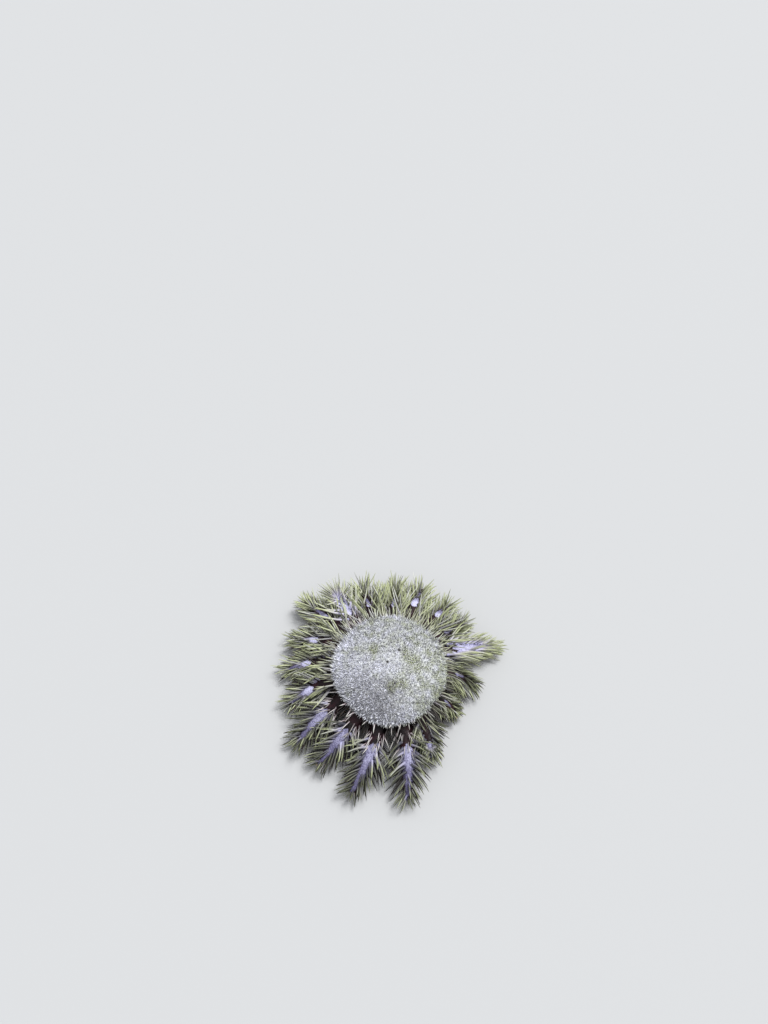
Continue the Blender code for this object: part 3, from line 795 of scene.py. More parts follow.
# The green, lilac, pink and grey spines from their roots to their ends.
SPINE_RAMPS = (
    ((0.03, MAROON), (0.14, OLIVE_DARK), (0.36, OLIVE), (0.66, OLIVE_LIGHT), (0.96, OLIVE_TIP)),
    (
        (0.00, SPINE_LILAC), (0.26, SPINE_LAVENDER), (0.50, OLIVE_GREY), (0.74, OLIVE),
        (0.95, OLIVE_TIP),
    ),
    ((0.02, MAROON), (0.16, SPINE_PINK), (0.55, SPINE_BUFF), (0.95, OLIVE_GREY)),
    ((0.05, MAROON), (0.26, SPINE_ASH), (0.60, SPINE_GREY), (0.95, SPINE_GREY_TIP)),
)
FLOOR_COLOUR = tint(180, 181, 182)


# Materials

NOISE_ROUGHNESS = 0.55


class Shading:
    """A material of one Principled shader, with short ways to add its nodes."""

    def __init__(self, name, **plain):
        self.material = bpy.data.materials.new(name)
        self.material.use_nodes = True
        self.tree = self.material.node_tree
        self.shader = self.tree.nodes["Principled BSDF"]
        for label, value in plain.items():
            self.set(label, value)
        self.place = self.node("TexCoord", "Object")

    def fill(self, socket, value):
        """Set a socket to a number or colour, or link it to an output."""
        if isinstance(value, bpy.types.NodeSocket):
            self.tree.links.new(value, socket)
        else:
            socket.default_value = value

    def set(self, label, value):
        """Set or link one of the shader's inputs."""
        self.fill(self.shader.inputs[label], value)

    def node(self, kind, output, inputs=None, **settings):
        """Add a node, set or link its inputs, and give back one of its outputs."""
        made = self.tree.nodes.new("ShaderNode" + kind)
        for label, value in settings.items():
            setattr(made, label, value)
        for label, value in (inputs or {}).items():
            self.fill(made.inputs[label], value)
        return made.outputs[output]

    def number(self, label):
        """A named number of the mesh's points."""
        return self.node("Attribute", "Fac", attribute_name=label)

    def math(self, operation, *values):
        """One sum of two or three values."""
        return self.node("Math", 0, dict(enumerate(values)), operation=operation)

    def noise(self, scale, detail=3):
        """Cloudy noise, with features of about 1 / scale metres."""
        inputs = {
            "Vector": self.place, "Scale": scale, "Detail": detail, "Roughness": NOISE_ROUGHNESS,
        }
        return self.node("TexNoise", "Fac", inputs)

    def cells(self, scale):
        """Distance from the middle of rounded cells of about 1 / scale metres."""
        return self.node("TexVoronoi", "Distance", {"Vector": self.place, "Scale": scale})

    def ramp(self, factor, *stops):
        """A colour ramp from places and colours."""
        colour = self.node("ValToRGB", "Color", {"Fac": factor})
        elements = colour.node.color_ramp.elements
        while len(elements) < len(stops):
            elements.new(0.5)
        for element, (place, stop) in zip(elements, stops):
            element.position = place
            element.color = stop
        return colour

    def step(self, factor, low, high, bottom=0.0, top=1.0):
        """A value that rises smoothly from bottom to top as the factor goes from low to high."""
        inputs = {
            "Value": factor, "From Min": low, "From Max": high, "To Min": bottom, "To Max": top,
        }
        return self.node("MapRange", "Result", inputs, interpolation_type="SMOOTHSTEP")

    def mix(self, factor, first, second):
        """Two colours mixed by a factor. The node tells its colour sockets apart by number only."""
        return self.node("Mix", 2, {0: factor, 6: first, 7: second}, data_type="RGBA")

    def shaded(self, colour, factor):
        """A colour made lighter or darker by a factor."""
        inputs = {"Vector": colour, "Scale": factor}
        return self.node("VectorMath", "Vector", inputs, operation="SCALE")

    def bump(self, height, strength, distance):
        """Fine relief."""
        inputs = {"Height": height, "Strength": strength, "Distance": distance}
        self.set("Normal", self.node("Bump", "Normal", inputs))


def skin_material():
    """Dark maroon flesh with the lavender stripes, the disc's pale ground and the buff underside."""
    gloss = {"Specular IOR Level": 0.25, "Coat Weight": 0.05, "Coat Roughness": 0.3}
    look = Shading("skin", **gloss)
    cloud = look.noise(90, 5)
    grain = look.noise(520, 4)
    flesh = look.mix(look.step(cloud, 0.35, 0.65), MAROON_DARK, MAROON)
    ragged = look.math("MULTIPLY_ADD", look.noise(230, 3), 1.0, -0.5)
    edge = look.math("ADD", look.number("stripe"), ragged)
    beads = look.math("MULTIPLY_ADD", look.cells(700), -0.5, look.math("MULTIPLY", cloud, 0.5))
    # Painted highlight: the stripes are lightest near their heads and darker towards their tips, and
    # darker on the front arms, painted as in shade.
    stripe_highlight = look.math("ADD", look.number("stripe_highlight"), beads)
    lavender = look.mix(look.step(stripe_highlight, 0.0, 1.0), LAVENDER_DEEP, LAVENDER)
    colour = look.mix(look.step(edge, 0.34, 0.60), flesh, lavender)
    # Painted light and shade: the disc's pale ground is made paler or darker in patches, as it is
    # lit.
    pale = look.math("MULTIPLY_ADD", look.number("pale"), 1.1, 0.05)
    ground = look.step(look.math("ADD", cloud, pale), 0.1, 0.9)
    ground = look.mix(ground, DISC_GROUND_DARK, DISC_GROUND)
    ground = look.mix(look.number("pore"), ground, MAROON_DARK)
    colour = look.mix(look.number("crown"), colour, ground)
    colour = look.mix(look.number("oral"), colour, look.mix(cloud, BUFF_DEEP, BUFF))
    look.set("Base Color", colour)
    look.set("Roughness", look.step(grain, 0.3, 0.7, 0.38, 0.6))
    relief = look.math("SUBTRACT", look.noise(700, 4), look.math("MULTIPLY", look.cells(620), 0.6))
    look.bump(relief, 0.55, 0.0006)
    return look.material


def spine_material():
    """Lavender or pinkish at the root, olive further out, pale yellow green at the point."""
    look = Shading("spine")
    t = look.number("t")
    t = look.math("ADD", t, look.math("MULTIPLY_ADD", look.noise(240, 3), 0.30, -0.15))
    green, lilac, pink, grey = (look.ramp(t, *stops) for stops in SPINE_RAMPS)
    colour = look.mix(look.step(look.number("grey"), 0.66, 0.90), green, grey)
    low = look.math("MULTIPLY", look.number("lilac"), look.step(t, 0.30, 0.85, 1.0, 0.25))
    colour = look.mix(low, colour, lilac)
    colour = look.mix(look.number("pink"), colour, pink)
    # Painted shade: the darkest spines fill the low gaps between the arms, and each arm's tone
    # darkens the front arms' spines as in shade.
    colour = look.mix(look.number("dark"), colour, SPINE_SHADE)
    tone = look.step(look.number("tone"), -0.5, 1.2, 0.18, 1.28)
    fleck = look.step(look.noise(1400, 3), 0.3, 0.7, 0.88, 1.08)
    look.set("Base Color", look.shaded(colour, look.math("MULTIPLY", tone, fleck)))
    look.set("Roughness", look.step(look.noise(900, 2), 0.3, 0.7, 0.42, 0.62))
    look.bump(look.noise(1700, 3), 0.35, 0.0003)
    return look.material


def coat_material(name, ground, middle, end, olive_end):
    """The disc's coat: dark at the root and pale at the end, olive in patches."""
    look = Shading(name)
    t = look.number("t")
    plain = look.ramp(t, (0.0, ground), (0.45, middle), (0.95, end))
    green = look.ramp(t, (0.0, ground), (0.45, OLIVE_SHADE), (0.95, olive_end))
    cloud = look.math("MULTIPLY_ADD", look.noise(95, 4), 2.0, -1.0)
    olive = look.math("ADD", look.number("olive"), cloud)
    colour = look.mix(look.step(olive, 0.0, 1.0), plain, green)
    tone = look.step(look.number("tone"), 0.0, 1.0, 0.42, 1.24)
    clump = look.step(look.noise(380, 3), 0.36, 0.58, 0.52, 1.06)
    look.set("Base Color", look.shaded(colour, look.math("MULTIPLY", tone, clump)))
    look.set("Roughness", look.step(look.noise(800, 2), 0.3, 0.7, 0.4, 0.6))
    look.bump(look.noise(2200, 2), 0.25, 0.0002)
    return look.material


def soft_material(name, root, end):
    """Soft damp flesh that pales towards its end."""
    look = Shading(name, **{"Coat Weight": 0.15, "Coat Roughness": 0.2})
    colour = look.ramp(look.number("t"), (0.0, root), (0.9, end))
    tone = look.step(look.number("tone"), 0.0, 1.0, 0.78, 1.08)
    look.set("Base Color", look.shaded(colour, tone))
    look.set("Roughness", look.step(look.noise(700, 3), 0.3, 0.7, 0.32, 0.55))
    look.bump(look.noise(1500, 3), 0.3, 0.0003)
    return look.material


# Skin

def skin_forms():
    """The closed forms of the disc, the mouth and the arms."""
    profile = disc_profile()[1:]
    profile = np.vstack([profile, ((WALL_RADIUS, UNDERSIDE), (MOUTH_RADIUS, UNDERSIDE))])
    degrees = np.arange(0, 360, DISC_TURN)
    around = unit(degrees)
    out, down = np.transpose(MOUTH_PROFILE)
    mouth = np.column_stack([out * MOUTH_RADIUS, UNDERSIDE - down * MOUTH_DEPTH])
    mouth[0, 1] += MOUTH_OVERLAP
    forms = []
    for turned in (profile, mouth):
        out = turned[:, :1] * rim_wave(degrees, turned[:, :1])
        rings = np.concatenate([
            around[None] * out[..., None],
            np.broadcast_to(turned[:, 1:, None], (len(turned), len(around), 1)),
        ], 2)
        forms.append((rings, (0, 0, turned[0, 1]), (0, 0, turned[-1, 1])))
    outline = [(-across, up) for across, up in HALF_OUTLINE]
    outline += [(across, up) for across, up in reversed(HALF_OUTLINE)]
    outline = closed_curve(outline, OUTLINE_STEPS)
    along = np.linspace(ARM_SECTIONS[0, 0], 1.0, ARM_RINGS)
    for arm in ARMS:
        share = np.repeat(along, len(outline))
        across, up = np.tile(outline, (len(along), 1)).T
        rings = arm_points(arm, share, across, up).reshape(len(along), len(outline), 3)
        forms.append((rings, rings[0].mean(0), rings[-1].mean(0)))
    return forms


def merged_skin(material):
    """One closed skin round all the forms, with the joins between them rounded off."""
    points, faces, start = [], [], 0
    for rings, first, last in skin_forms():
        count, sides = rings.shape[:2]
        quads, fans = loft_faces(count, sides, start)
        points += [rings.reshape(-1, 3), [first], [last]]
        faces += [quads, fans]
        start += count * sides + 2
    rough = mesh_piece("rough_skin", np.vstack(points), faces, material)
    merge = rough.modifiers.new("merge", "REMESH")
    merge.mode = "VOXEL"
    merge.voxel_size = SKIN_GRAIN
    soften = rough.modifiers.new("soften", "SMOOTH")
    soften.iterations = SKIN_SMOOTHING
    graph = bpy.context.evaluated_depsgraph_get()
    mesh = bpy.data.meshes.new_from_object(rough.evaluated_get(graph))
    bpy.data.objects.remove(rough)
    mesh.name = "skin"
    return mesh


def arm_coordinates(points):
    """The share along, across and up of the arm nearest to each point, and that arm's number."""
    best = np.full(len(points), np.inf)
    found = np.zeros((len(points), 4))
    for number, arm in enumerate(ARMS):
        length = length_of(arm)
        along = (points[:, :2] @ unit(arm.direction) - WALL_RADIUS) / length
        for _ in range(2):
            centre, heading, _ = arm_line(arm, np.clip(along, *ALONG_RANGE))
            along = along + ((points[:, :2] - centre) * heading).sum(1) / length
        centre, _, left = arm_line(arm, np.clip(along, *ALONG_RANGE))
        off = points[:, :2] - centre
        distance = np.linalg.norm(off, axis=1)
        half_width, top, underside = arm_sizes(arm, along)
        nearer = distance < best
        best = np.where(nearer, distance, best)
        across = (off * left).sum(1) / half_width
        up = (points[:, 2] - underside) / (top - underside)
        here = np.column_stack([along, across, up, np.full(len(points), number)])
        found[nearer] = here[nearer]
    return found.T


def add_skin(material):
    """The skin with its wrinkles and the numbers that place its markings."""
    mesh = merged_skin(material)
    count = len(mesh.vertices)
    points = np.zeros(count * 3, np.float32)
    normals = np.zeros(count * 3, np.float32)
    mesh.vertices.foreach_get("co", points)
    mesh.vertices.foreach_get("normal", normals)
    points = points.reshape(-1, 3).astype(float)
    normals = normals.reshape(-1, 3)
    along, across, up, number = arm_coordinates(points)
    distance = apart(points, (0, 0))
    first, last, width, light = np.array(LOOKS)[number.astype(int), :4].T
    share = (along - first) / (last - first)
    half = width * read(STRIPE_SHAPE, share)
    stripe = np.clip(0.5 + (half - np.abs(across)) / STRIPE_EDGE, 0, 1)
    stripe *= np.clip((up - STRIPE_UP) / STRIPE_UP_EDGE, 0, 1)
    # The stripe's painted highlight along it, scaled for each arm.
    stripe_highlight = light * read(STRIPE_HIGHLIGHT, share)
    crown = np.clip((points[:, 2] - WALL_TOP) / (RIM_HEIGHT - WALL_TOP), 0, 1)
    crown *= np.clip((RIM_RADIUS + CROWN_EDGE - distance) / CROWN_EDGE, 0, 1)
    oral = np.clip(-normals[:, 2] / ORAL_EDGE - ORAL_START, 0, 1)
    pore = np.zeros(count)
    for x, y, radius in PORES:
        pore += np.clip(2 - apart(points, (x, y)) / radius * PORE_EDGE, 0, 1)
    wrinkle = [noise.fractal(Vector(p) * WRINKLE_SCALE, *WRINKLE_FRACTAL) for p in points]
    height = SKIN_WRINKLE * np.array(wrinkle) * (1 - STRIPE_SMOOTHS * stripe)
    points += normals * height[:, None]
    mesh.vertices.foreach_set("co", (points + HUB).astype(np.float32).ravel())
    # Painted light and shade on the disc: how much paler or darker the patches make each point.
    pale = patches(points, LIGHT_AND_SHADE_PATCHES)
    set_numbers(mesh, dict(stripe=stripe, stripe_highlight=stripe_highlight, crown=crown, oral=oral, pore=pore, pale=pale))
    mesh.update()
    return as_piece("skin", mesh)


# Places on the maps that the coat pieces carry

def disc_spots(run, degrees):
    """The disc's top and lip laid out flat, round the middle of the map."""
    return 0.5 + unit(degrees) * (0.47 * run / DISC.length)[:, None]


def arm_spots(column, columns, along, around):
    """One arm's skin unrolled into a column of the map, from its right side round to its left."""
    across = (column + 0.1 + 0.8 * np.asarray(around)) / columns
    return np.column_stack(np.broadcast_arrays(across, 0.06 + 0.86 * np.asarray(along)))


# Spines and the disc's coat

def size_of(arm):
    """How long an arm's spines are against a fully stretched arm's."""
    return min(1.0, length_of(arm) / FULL_ARM_LENGTH) ** 0.5


def ways_from(heading, left, spread, rise):
    """Directions turned from the headings to the side and up, in degrees."""
    spread, rise = np.radians(spread), np.radians(rise)
    level = heading * np.cos(spread)[:, None] + left * np.sin(spread)[:, None]
    return raised(level * np.cos(rise)[:, None], np.sin(rise))


class ArmForms:
    """Adds forms that stand on one arm, with their places on that arm's column of the map."""

    def __init__(self, forms, number, column, columns):
        self.forms = forms
        self.arm = ARMS[number]
        self.look = LOOKS[number]
        self.column = (column, columns)
        self.draw = np.random.default_rng(SEED * 100 + number)
        self.size = size_of(self.arm)

    def stand(self, along, across, up, spread, rise, length, radii, lilac, pink=0.0, dark=0.0,
              lift=0.0, grey=0.0):
        """Stand spines at places on the section, turned to the side and up in degrees. lilac, pink,
        dark and grey are shares, and lift is how much lighter than the arm's tone they are."""
        count = len(along)
        draw, look = self.draw, self.look
        nearest = (NEAREST_ROOT - WALL_RADIUS) / length_of(self.arm)
        along = np.maximum(along, nearest + draw.uniform(0, NEAREST_STRAY, count))
        _, heading, left = arm_line(self.arm, along)
        ways = ways_from(heading, left, spread, rise)
        sweep = SPINE_SWEEP * np.sin(np.radians(np.abs(spread)))
        sweep = raised(heading * sweep[:, None], -look.curl)
        sweep[:, 1] -= look.hook
        roots = arm_points(self.arm, along, across, up) - ways * ROOT_DEPTH
        around = 0.5 + 0.5 * np.sign(across) * (1.1 - 0.9 * up) * np.minimum(np.abs(across) * 2, 1)
        spots = arm_spots(*self.column, along, around)
        tone = draw.uniform(*TONE_SPREAD, count) + look.tone + lift
        grey = draw.uniform(0, 1, count) + grey
        self.forms.add(roots, ways, length, radii, spots, draw, bend=SPINE_BEND, sweep=sweep,
                       tone=tone, lilac=lilac, pink=pink, dark=dark, grey=grey)

    def side_rows(self, row, side):
        """One row of long spines along one side."""
        draw, look = self.draw, self.look
        count = round(row.dense * look.dense * (row.last - look.clear))
        share = np.linspace(0, 1, count)
        along = blend(look.clear, row.last, share) + draw.uniform(-STRAY_ALONG, STRAY_ALONG, count)
        up = row.up + draw.uniform(-STRAY_UP, STRAY_UP, count)
        across = side * (row.across + draw.uniform(-STRAY_ACROSS, STRAY_ACROSS, count))
        spread = look.spread * blend(row.spread, row.spread_end, share)
        spread = side * (spread + draw.normal(0, STRAY_SPREAD, count))
        rise = blend(row.rise, row.rise_end, share) + draw.normal(0, STRAY_RISE, count)
        length = self.size * row.size * blend(SPINE_LENGTH * look.length, LAST_SPINE_LENGTH, share)
        length = length * draw.uniform(*STRAY_LENGTH, count)
        radii = blend(SPINE_RADIUS, LAST_SPINE_RADIUS, share) * draw.uniform(*STRAY_RADIUS, count)
        # The spines' lilac follows the stripe's painted highlight, and the most lilac are lightened
        # as a painted highlight. The lowest row's darkness is painted shade, deepest on the darker
        # front arms.
        stripe_highlight = read(STRIPE_HIGHLIGHT, (along - look.first) / (look.last - look.first))
        lilac = row.lilac * look.lilac * stripe_highlight
        radii = radii * blend(1.0, LILAC_WIDTH, np.clip(lilac, 0, 1))
        dark = row.dark * np.clip(DARK_SPINES - look.tone, 0, 1)
        lift = LILAC_LIFT * np.clip(2 * lilac - 1, 0, 1)
        self.stand(along, across, up, spread, rise, length, radii, lilac, dark=dark, lift=lift)

    def back_spines(self):
        """Spines on the middle of the back."""
        draw, look = self.draw, self.look
        count = look.back
        run = BACK_SPINES_RUN * (1 - look.fan / 180)
        along = BACK_SPINES_AT + draw.uniform(-run, run, count)
        side = draw.uniform(-1, 1, count)
        length = self.size * look.length * blend(*BACK_SPINE_LENGTHS, along)
        length = length * draw.uniform(*BACK_SPINE_STRAY, count)
        spread = side * look.fan + draw.normal(0, BACK_SPINE_TURN, count)
        rise = draw.uniform(*BACK_SPINE_RISE, count)
        self.stand(along, BACK_SPINES_ACROSS * side, np.full(count, BACK_UP), spread, rise, length,
                   LAST_SPINE_RADIUS, look.lilac, grey=FAN_GREY * look.fan / 180)

    def stalks(self):
        """Thin pale stalks on the dark inner part."""
        draw, look = self.draw, self.look
        count = round(STALKS * look.clear)
        along = draw.uniform(0, look.clear + STALKS_PAST, count)
        across = draw.choice((-1.0, 1.0), count) * draw.uniform(*STALK_ACROSS, count)
        length = draw.uniform(*STALK_LENGTH, count)
        spread = across * STALK_SPREAD + draw.normal(0, STALK_TURN, count)
        rise = draw.uniform(*STALK_RISE, count)
        pink = 1.0 if look.clear > BARE_FROM else COVERED_PINK
        self.stand(along, across, BACK_UP - STALK_DOWN * np.abs(across), spread, rise, length,
                   STALK_RADIUS, 0.0, lift=STALK_TONE - look.tone, pink=pink)

    def tip_spines(self):
        """A fan of spines round the tip."""
        draw, count = self.draw, TIP_SPINES
        spread = np.linspace(-TIP_FAN, TIP_FAN, count) + draw.normal(0, TIP_TURN, count)
        along = TIP_SPINES_AT + draw.uniform(*TIP_STRAY, count)
        across = 0.5 * np.sin(np.radians(spread))
        length = self.size * TIP_SPINE_LENGTH * draw.uniform(*TIP_SPINE_STRAY, count)
        rise = draw.uniform(*TIP_RISE, count)
        self.stand(along, across, np.full(count, 0.5), spread, rise, length,
                   TIP_WIDTH * LAST_SPINE_RADIUS, TIP_LILAC * self.look.lilac)


def add_arm_spines(name, first, last, material):
    """The long spines along both sides of some arms, on their backs and round their tips."""
    forms = Forms(SPINE_PROFILE, SPINE_SIDES, on_top=True)
    for number in range(first, last):
        arm = ArmForms(forms, number, number - first, last - first)
        for row in SPINE_ROWS:
            for side in (1, -1):
                arm.side_rows(row, side)
        arm.back_spines()
        arm.stalks()
        arm.tip_spines()
    return forms.piece(name, material)


def add_collar(material):
    """The spines that stand out from under the disc's rim all round it. They are palest where the
    arms beside them are bare."""
    draw = np.random.default_rng(SEED + 4)
    forms = Forms(SPINE_PROFILE, SPINE_SIDES, on_top=True)
    directions = unit(np.array([arm.direction for arm in ARMS]))
    bare = np.array([look.clear > BARE_FROM for look in LOOKS], float)
    tones = np.array([look.tone for look in LOOKS])
    hooks = np.array([look.hook for look in LOOKS])
    for tier in COLLAR:
        degrees = np.arange(tier.count) + draw.uniform(-COLLAR_STRAY, COLLAR_STRAY, tier.count)
        degrees = degrees * 360 / tier.count
        match = unit(degrees) @ directions.T
        degrees = degrees[match.max(1) <= math.cos(math.radians(tier.clear))]
        nearest = (unit(degrees) @ directions.T).argmax(1)
        pale = 1 - tier.dark
        kept = draw.uniform(0, 1, len(degrees)) >= BARE_COLLAR_GAPS * bare[nearest] * pale
        degrees, nearest = degrees[kept], nearest[kept]
        count = len(degrees)
        beside = bare[nearest]
        turned = degrees + draw.normal(0, blend(COLLAR_SPREAD, BARE_COLLAR_SPREAD, beside))
        rise = draw.uniform(tier.low, tier.high, count)
        ways = ways_from(unit(turned), unit(turned + 90), np.zeros(count), rise)
        roots = raised(unit(degrees) * tier.distance, tier.height)
        sweep = np.column_stack([np.zeros(count), -hooks[nearest], np.full(count, -COLLAR_CURL)])
        length = draw.uniform(tier.shortest, tier.longest, count)
        length = length * blend(1.0, BARE_COLLAR, beside * pale)
        radii = COLLAR_RADIUS * draw.uniform(*COLLAR_WIDTHS, count)
        spots = disc_spots(np.full(count, COLLAR_ON_MAP * DISC.length), degrees)
        # Each collar spine takes the painted shade of the arm beside it, unless that arm is bare;
        # the lowest tier is darkened as painted shade.
        tone = draw.uniform(0, 1, count) + blend(tones[nearest], STALK_TONE, beside * pale)
        pink = blend(COVERED_PINK, 1.0, beside)
        forms.add(roots, ways, length, radii, spots, draw, bend=SPINE_BEND, sweep=sweep, tone=tone,
                  lilac=COLLAR_LILAC, dark=tier.dark, pink=pink, grey=draw.uniform(0, 1, count))
    return forms.piece("collar_spines", material)


def scattered(count, draw, jitter):
    """Distances along the disc's profile and angles that cover it evenly, each moved a little."""
    number = np.arange(count) + 0.5
    run = DISC.spread_runs(number / count)
    degrees = number * GOLDEN_ANGLE
    step = math.sqrt(DISC.area[-1] * 2 * math.pi / count) * jitter
    run = np.clip(run + draw.uniform(-step, step, count), FIRST_RUN, DISC.length)
    out = np.maximum(np.interp(run, DISC.run, DISC.points[:, 0]), LEAST_OUT)
    degrees = degrees + np.degrees(draw.uniform(-step, step, count) / out)
    clear = np.ones(count, bool)
    plan = unit(degrees) * out[:, None]
    for x, y, radius in PORES:
        clear &= apart(plan, (x, y)) > radius
    return run[clear], degrees[clear]


def patches(points, table):
    """The sum of soft round patches at points."""
    total = np.zeros(len(points))
    for x, y, radius, strength in table:
        total += strength * np.exp(-((apart(points, (x, y)) / radius) ** 2))
    return total


def olive_share(points):
    """How olive the disc's coat is."""
    return OLIVE_GROUND + OLIVE_SLOPE * points[:, 0] / RIM_RADIUS + patches(points, OLIVE_PATCHES)


def add_disc_coat(coat, draw, material):
    """Many short forms over the disc's top and lip, as one object for each sector."""
    run, degrees = scattered(coat.count, draw, COAT_STRAY)
    count = len(run)
    points, normals = DISC.place(run, degrees)
    share = run / DISC.length
    out = raised(unit(degrees), 0)
    tilt = np.tan(np.radians(read(coat.leans, share)))
    ways = normalised(normals + out * tilt[:, None] + draw.normal(0, COAT_LEAN, (count, 3)))
    length = read(coat.lengths, share) * draw.uniform(*COAT_LENGTHS, count)
    # Painted light and shade: each form's tone is raised or lowered by the disc's patches.
    tone = draw.uniform(0, 1, count) + coat.pale * patches(points, LIGHT_AND_SHADE_PATCHES)
    olive = olive_share(points)
    roots = points - ways * COAT_DEPTH
    spots = disc_spots(run, degrees)
    pieces = []
    for sector in range(coat.sectors):
        mine = (degrees % 360) // (360 / coat.sectors) == sector
        forms = Forms(coat.profile, coat.sides)
        forms.add(roots[mine], ways[mine], length[mine], coat.radius, spots[mine], draw,
                  bend=COAT_BEND, tone=tone[mine], olive=olive[mine])
        pieces.append(forms.piece(f"{coat.name}_{sector + 1}", material))
    return pieces


def add_bristles(draw, material):
    """The long thin bristles that stand out round the disc's rim."""
    count = BRISTLES
    run = draw.uniform(*BRISTLES_AT, count) * DISC.length
    degrees = np.arange(count) * GOLDEN_ANGLE
    degrees = degrees + draw.uniform(-BRISTLE_SHIFT, BRISTLE_SHIFT, count)
    points, normals = DISC.place(run, degrees)
    out = raised(unit(degrees + draw.normal(0, BRISTLE_TURN, count)), 0)
    ways = normalised(BRISTLE_UP * normals + out + draw.normal(0, BRISTLE_STRAY, (count, 3)))
    front = np.clip(0.5 - unit(degrees)[:, 1], 0, 1)
    length = draw.uniform(*BRISTLE_LENGTH, count) * blend(1.0, FRONT_BRISTLES, front)
    forms = Forms(PRICKLE_PROFILE, 5)
    forms.add(points - ways * COAT_DEPTH, ways, length, BRISTLE_RADIUS, disc_spots(run, degrees),
              draw, bend=BRISTLE_BEND, sweep=(0, 0, -BRISTLE_DROOP),
              tone=draw.uniform(*BRISTLE_TONE, count), olive=olive_share(points) + BRISTLE_OLIVE)
    return forms.piece("rim_bristles", material)


def add_arm_buds(name, arms, material):
    """Soft buds on the flanks and the dark inner part of some arms."""
    forms = Forms(BUD_PROFILE, 4, on_top=True)
    flank, flank_across, flank_up = zip(*FLANK)
    for column, arm in enumerate(arms):
        draw = np.random.default_rng(SEED * 1000 + int(arm.direction))
        count = int(BUDS_PER_METRE * length_of(arm))
        along = draw.uniform(0, LAST_BUD, count)
        side = draw.choice((-1.0, 1.0), count)
        angle = draw.uniform(0, 1, count)
        across = side * np.interp(angle, flank, flank_across)
        up = np.interp(angle, flank, flank_up)
        on_back = (along < BUDDED_BACK) & (angle > 0.5)
        across = np.where(on_back, side * draw.uniform(0, BACK_BUDS, count), across)
        _, _, left = arm_line(arm, along)
        ways = raised(left * (across * ARM_BUD_ASIDE)[:, None], ARM_BUD_RISE + ARM_BUD_STEEPER * up)
        ways = normalised(ways + draw.normal(0, ARM_BUD_STRAY, (count, 3)))
        roots = arm_points(arm, along, across, up) - ways * ARM_BUD_DEPTH
        lengths = draw.uniform(*ARM_BUD_LENGTH, count)
        radii = draw.uniform(*ARM_BUD_RADIUS, count)
        spots = arm_spots(column, len(arms), along, 0.5 + 0.5 * side * (1.1 - 0.8 * up))
        forms.add(roots, ways, lengths, radii, spots, draw, bend=ARM_BUD_BEND)
    return forms.piece(name, material)


# Tube feet, groove spines and mouth

def foot_rows(arm):
    """Roots of the tube feet of one arm and of its run under the disc, in two rows."""
    rows = []
    step = FOOT_STEP / length_of(arm)
    along = np.arange(*FEET_ALONG, step)
    inner = np.arange(MOUTH_RADIUS + CLEAR_OF_MOUTH, WALL_RADIUS - CLEAR_OF_WALL, FOOT_STEP)
    for side in (1, -1):
        shifted = along + (0.5 * step if side < 0 else 0)
        rows.append((side, arm_points(arm, shifted, side * FOOT_ACROSS, FOOT_UP)))
        level = inner[:, None] * unit(arm.direction) + side * FOOT_ROW * unit(arm.direction + 90)
        rows.append((side, raised(level, UNDERSIDE + FOOT_DEPTH)))
    return rows


def add_feet(material):
    """Every tube foot, each ending in a sucker flat on the floor."""
    draw = np.random.default_rng(SEED + 2)
    forms = Forms(FOOT_PROFILE, 10)
    for column, arm in enumerate(ARMS):
        for side, roots in foot_rows(arm):
            count = len(roots)
            aside = unit(arm.direction + 90) * side * FOOT_LEAN
            level = aside + draw.normal(0, FOOT_STRAY, (count, 2))
            ways = raised(level, -1.0)
            lengths = roots[:, 2] * np.linalg.norm(ways, axis=1)
            radii = FOOT_RADIUS * draw.uniform(*FOOT_WIDTHS, count)
            along = apart(roots, (0, 0)) / FEET_MAP_REACH
            spots = arm_spots(column, len(ARMS), along, 0.5 + 0.25 * side)
            forms.add(roots, ways, lengths, radii, spots, draw, bend=FOOT_BEND, level=True)
    return forms.piece("tube_feet", material)


